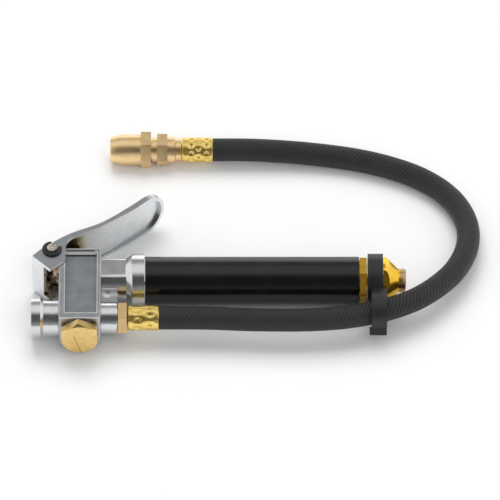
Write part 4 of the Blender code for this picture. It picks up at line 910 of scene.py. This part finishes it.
amber_gold = gold_look()
for gold_piece, angle in TIGHTENED_TO.items():
    screwed_round(nodes[gold_piece], angle)
    dress(gold_piece, amber_gold, BROAD_EDGE)
button_gold = turned_metal_look("button_gold", dark=(0.52, 0.33, 0.16),
                                light=(0.74, 0.50, 0.27), rough=0.3, axis="X")
button = lofted("vent_disc", rounds(*BUTTON_PROFILE), BUTTON_SIDES, "X", tool_point(0, 0, 0),
                button_gold)
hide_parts("vent_button")
clip_plastic = black_finish("clip_plastic", dark=(0.006, 0.0065, 0.007),
                            light=(0.016, 0.0165, 0.017), rough=(0.38, 0.5),
                            tooth_scale=2600.0, strength=0.25)
dress("hose_clip", clip_plastic, CLIP_EDGE)

# ------------------------------------------------------------------ hose
# Black rubber hose with the print of the cloth that it was cured in: fine slanting ribs over
# its whole length. It leaves the body straight, runs through the clip's hook and lies round
# on the bench to the chuck.

HOSE_R = 6.35 * MM
HOSE_START = tool_point(70.35, -28.9, 0.0)
HOSE_END = tool_point(99.55, 108.2, -5.9)
STRAIGHT_RUN = Vector((4.0, 0, 0)) * MM
# X and Y in tool space and the height over the bench, in millimetres.
HOSE_ROUTE = [
    (84.0, -28.9, 14.9), (101.0, -29.2, 14.9), (117.5, -30.1, 14.9), (134.0, -30.5, 14.9),
    (150.5, -30.4, 14.9), (166.0, -29.3, 14.9), (175.5, -27.8, 14.9), (183.4, -26.0, 14.9),
    (191.0, -23.6, 14.8), (200.0, -19.9, 14.4), (212.0, -12.6, 13.6), (223.2, -2.0, 12.6),
    (232.8, 11.5, 11.2), (239.2, 28.6, 9.8), (240.4, 45.5, 8.6), (236.5, 61.6, 7.6),
    (227.7, 76.1, 7.0), (213.9, 88.2, 6.7), (197.3, 96.7, 6.6), (180.0, 102.4, 6.6),
    (162.0, 105.8, 6.9), (144.0, 107.5, 7.7), (127.0, 108.1, 8.6), (113.5, 108.2, 9.0)]
CURVE_STEPS = 12
HOSE_RINGS = 420
HOSE_SIDES = 40
RIBS_PER_METRE = 450
RIB_STARTS = 11


def smooth_line(points, steps):
    """A smooth curve through the given points."""
    padded = [2 * points[0] - points[1], *points, 2 * points[-1] - points[-2]]
    line = []
    for before, first, second, after in zip(padded, padded[1:], padded[2:], padded[3:]):
        for step in range(steps):
            t = step / steps
            line.append(0.5 * (2 * first + (second - before) * t
                               + (2 * before - 5 * first + 4 * second - after) * t ** 2
                               + (3 * first - before - 3 * second + after) * t ** 3))
    line.append(points[-1])
    return line


def even_points(line, count):
    """The same line with its points at even spacing."""
    lengths = [0.0]
    for first, second in zip(line, line[1:]):
        lengths.append(lengths[-1] + (second - first).length)
    result, span = [], 0
    for index in range(count):
        target = lengths[-1] * index / (count - 1)
        while span < len(line) - 2 and lengths[span + 1] < target:
            span += 1
        share = (target - lengths[span]) / (lengths[span + 1] - lengths[span])
        result.append(line[span].lerp(line[span + 1], share))
    return result


def slanting_ribs(tree):
    """Ribs that wind round the hose: 0 in the creases between them and 1 along their tops."""
    chart = put(tree, "ShaderNodeUVMap", uv_map="length_and_turn")
    length, turn, _ = split(tree, chart.outputs[0])
    ribs = weighed(tree, length, RIBS_PER_METRE * CHART_LENGTH, turn, RIB_STARTS)
    wave = sums(tree, "SINE", sums(tree, "MULTIPLY", ribs, math.pi))
    return sums(tree, "POWER", sums(tree, "ABSOLUTE", wave), 0.5)


hose_line = even_points(smooth_line(
    [HOSE_START, HOSE_START + STRAIGHT_RUN,
     *[tool_point(x, y, height - AXIS_HEIGHT) for x, y, height in HOSE_ROUTE],
     HOSE_END + STRAIGHT_RUN, HOSE_END], CURVE_STEPS), HOSE_RINGS)
hose_rubber = rubber_look("hose_rubber", dark=(0.003, 0.003, 0.003), light=(0.022, 0.022, 0.023),
                          ribs=slanting_ribs)
hose = link_piece("whip_hose", swept(hose_line, HOSE_R, HOSE_SIDES), hose_rubber)
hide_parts("hose")

# ------------------------------------------------------------------ hose ends
# Each end of the hose is pushed over a barb, the near one on a brass nipple screwed into the
# body. A sleeve of bright pressed brass is crimped round it with rows of dents.

SLEEVE_R = 6.9 * MM
SLEEVE_BORE_R = 3.2 * MM
SLEEVE_LENGTH = 16.9 * MM
SLEEVE_BACK = Vector((16.95, 0, 0)) * MM       # from the hose's free run back to its sleeve
SLEEVE_LIP = 0.35 * MM
SLEEVE_TURNED_IN = 0.4 * MM
SLEEVE_DENT = 0.7 * MM
SLEEVE_SIDES = 96
SLEEVE_RINGS = 60
PLAIN_RINGS = 3                                # left out at each end, where the lip is


def pressed_look():
    """Bright pressed brass, faintly hammered."""
    look, tree, shader = new_look("pressed_brass", Metallic=1.0)
    cloud, _ = skin_nodes(tree, cloud_scale=300.0, tooth_scale=4200.0)
    feed(tree, shader,
         Base_Color=ramp(tree, cloud, (0.25, (0.87, 0.59, 0.13)), (0.75, (1.0, 0.79, 0.28))),
         Roughness=ramp(tree, cloud, (0.3, 0.26), (0.7, 0.36)))
    relief(tree, shader, cells(tree, Scale=420.0, feature="SMOOTH_F1"), 0.55, distance=0.6 * MM)
    return look


def crimped_sleeve(name, node, hose_end, lead, rows, count, width):
    """A sleeve with rows of dents, each row turned against the one before it."""
    def skin(share):
        """The dented ring at a share of the length."""
        def ring(turn):
            dent = 0.0
            for row, middle in enumerate(rows):
                deep = math.exp(-((share - middle) / width) ** 2)
                phase = count * (turn - math.radians(lead)) + row * math.pi
                dent += deep * (0.5 + 0.5 * math.cos(phase)) ** 1.5
            return share * SLEEVE_LENGTH, SLEEVE_R - SLEEVE_DENT * dent
        return ring

    rings = [lambda turn: (0, SLEEVE_BORE_R),
             lambda turn: (0, SLEEVE_R - SLEEVE_TURNED_IN),
             lambda turn: (SLEEVE_LIP, SLEEVE_R),
             *(skin(step / SLEEVE_RINGS)
               for step in range(PLAIN_RINGS, SLEEVE_RINGS + 1 - PLAIN_RINGS)),
             lambda turn: (SLEEVE_LENGTH - SLEEVE_LIP, SLEEVE_R),
             lambda turn: (SLEEVE_LENGTH, SLEEVE_R - SLEEVE_TURNED_IN),
             lambda turn: (SLEEVE_LENGTH, SLEEVE_BORE_R)]
    sleeve = lofted(name, rings, SLEEVE_SIDES, "X", hose_end - SLEEVE_BACK, pressed_brass,
                    closed=True)
    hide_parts(node)
    return sleeve


nipple_brass = turned_metal_look("nipple_brass", dark=(0.58, 0.40, 0.18),
                                 light=(0.74, 0.53, 0.27), rough=0.27, axis="X")
pressed_brass = pressed_look()
dress("hose_nipple", nipple_brass, BROAD_EDGE)
crimped_sleeve("hose_sleeve", "hose_ferrule", HOSE_START, lead=100, rows=(0.3, 0.72), count=8,
               width=0.12)
chuck_sleeve = crimped_sleeve("chuck_sleeve", "chuck_ferrule", HOSE_END, lead=80,
                              rows=(0.3, 0.54, 0.8), count=10, width=0.07)

# ------------------------------------------------------------------ chuck
# Pale machined brass: a coned barrel with a hexagon, screwed on an adapter that takes the
# hose's tailpiece. A rubber ring and a fixed pin sit behind the mouth.

chuck_brass = turned_metal_look("chuck_brass", dark=(0.88, 0.60, 0.28), light=(1.0, 0.77, 0.43),
                                rough=0.31, axis="X", cut=0.2)
for brass_piece in ("chuck_body", "chuck_adapter", "chuck_tailpiece", "depressor_pin"):
    dress(brass_piece, chuck_brass, BROAD_EDGE)
dress("chuck_gasket", seal_rubber, 0)
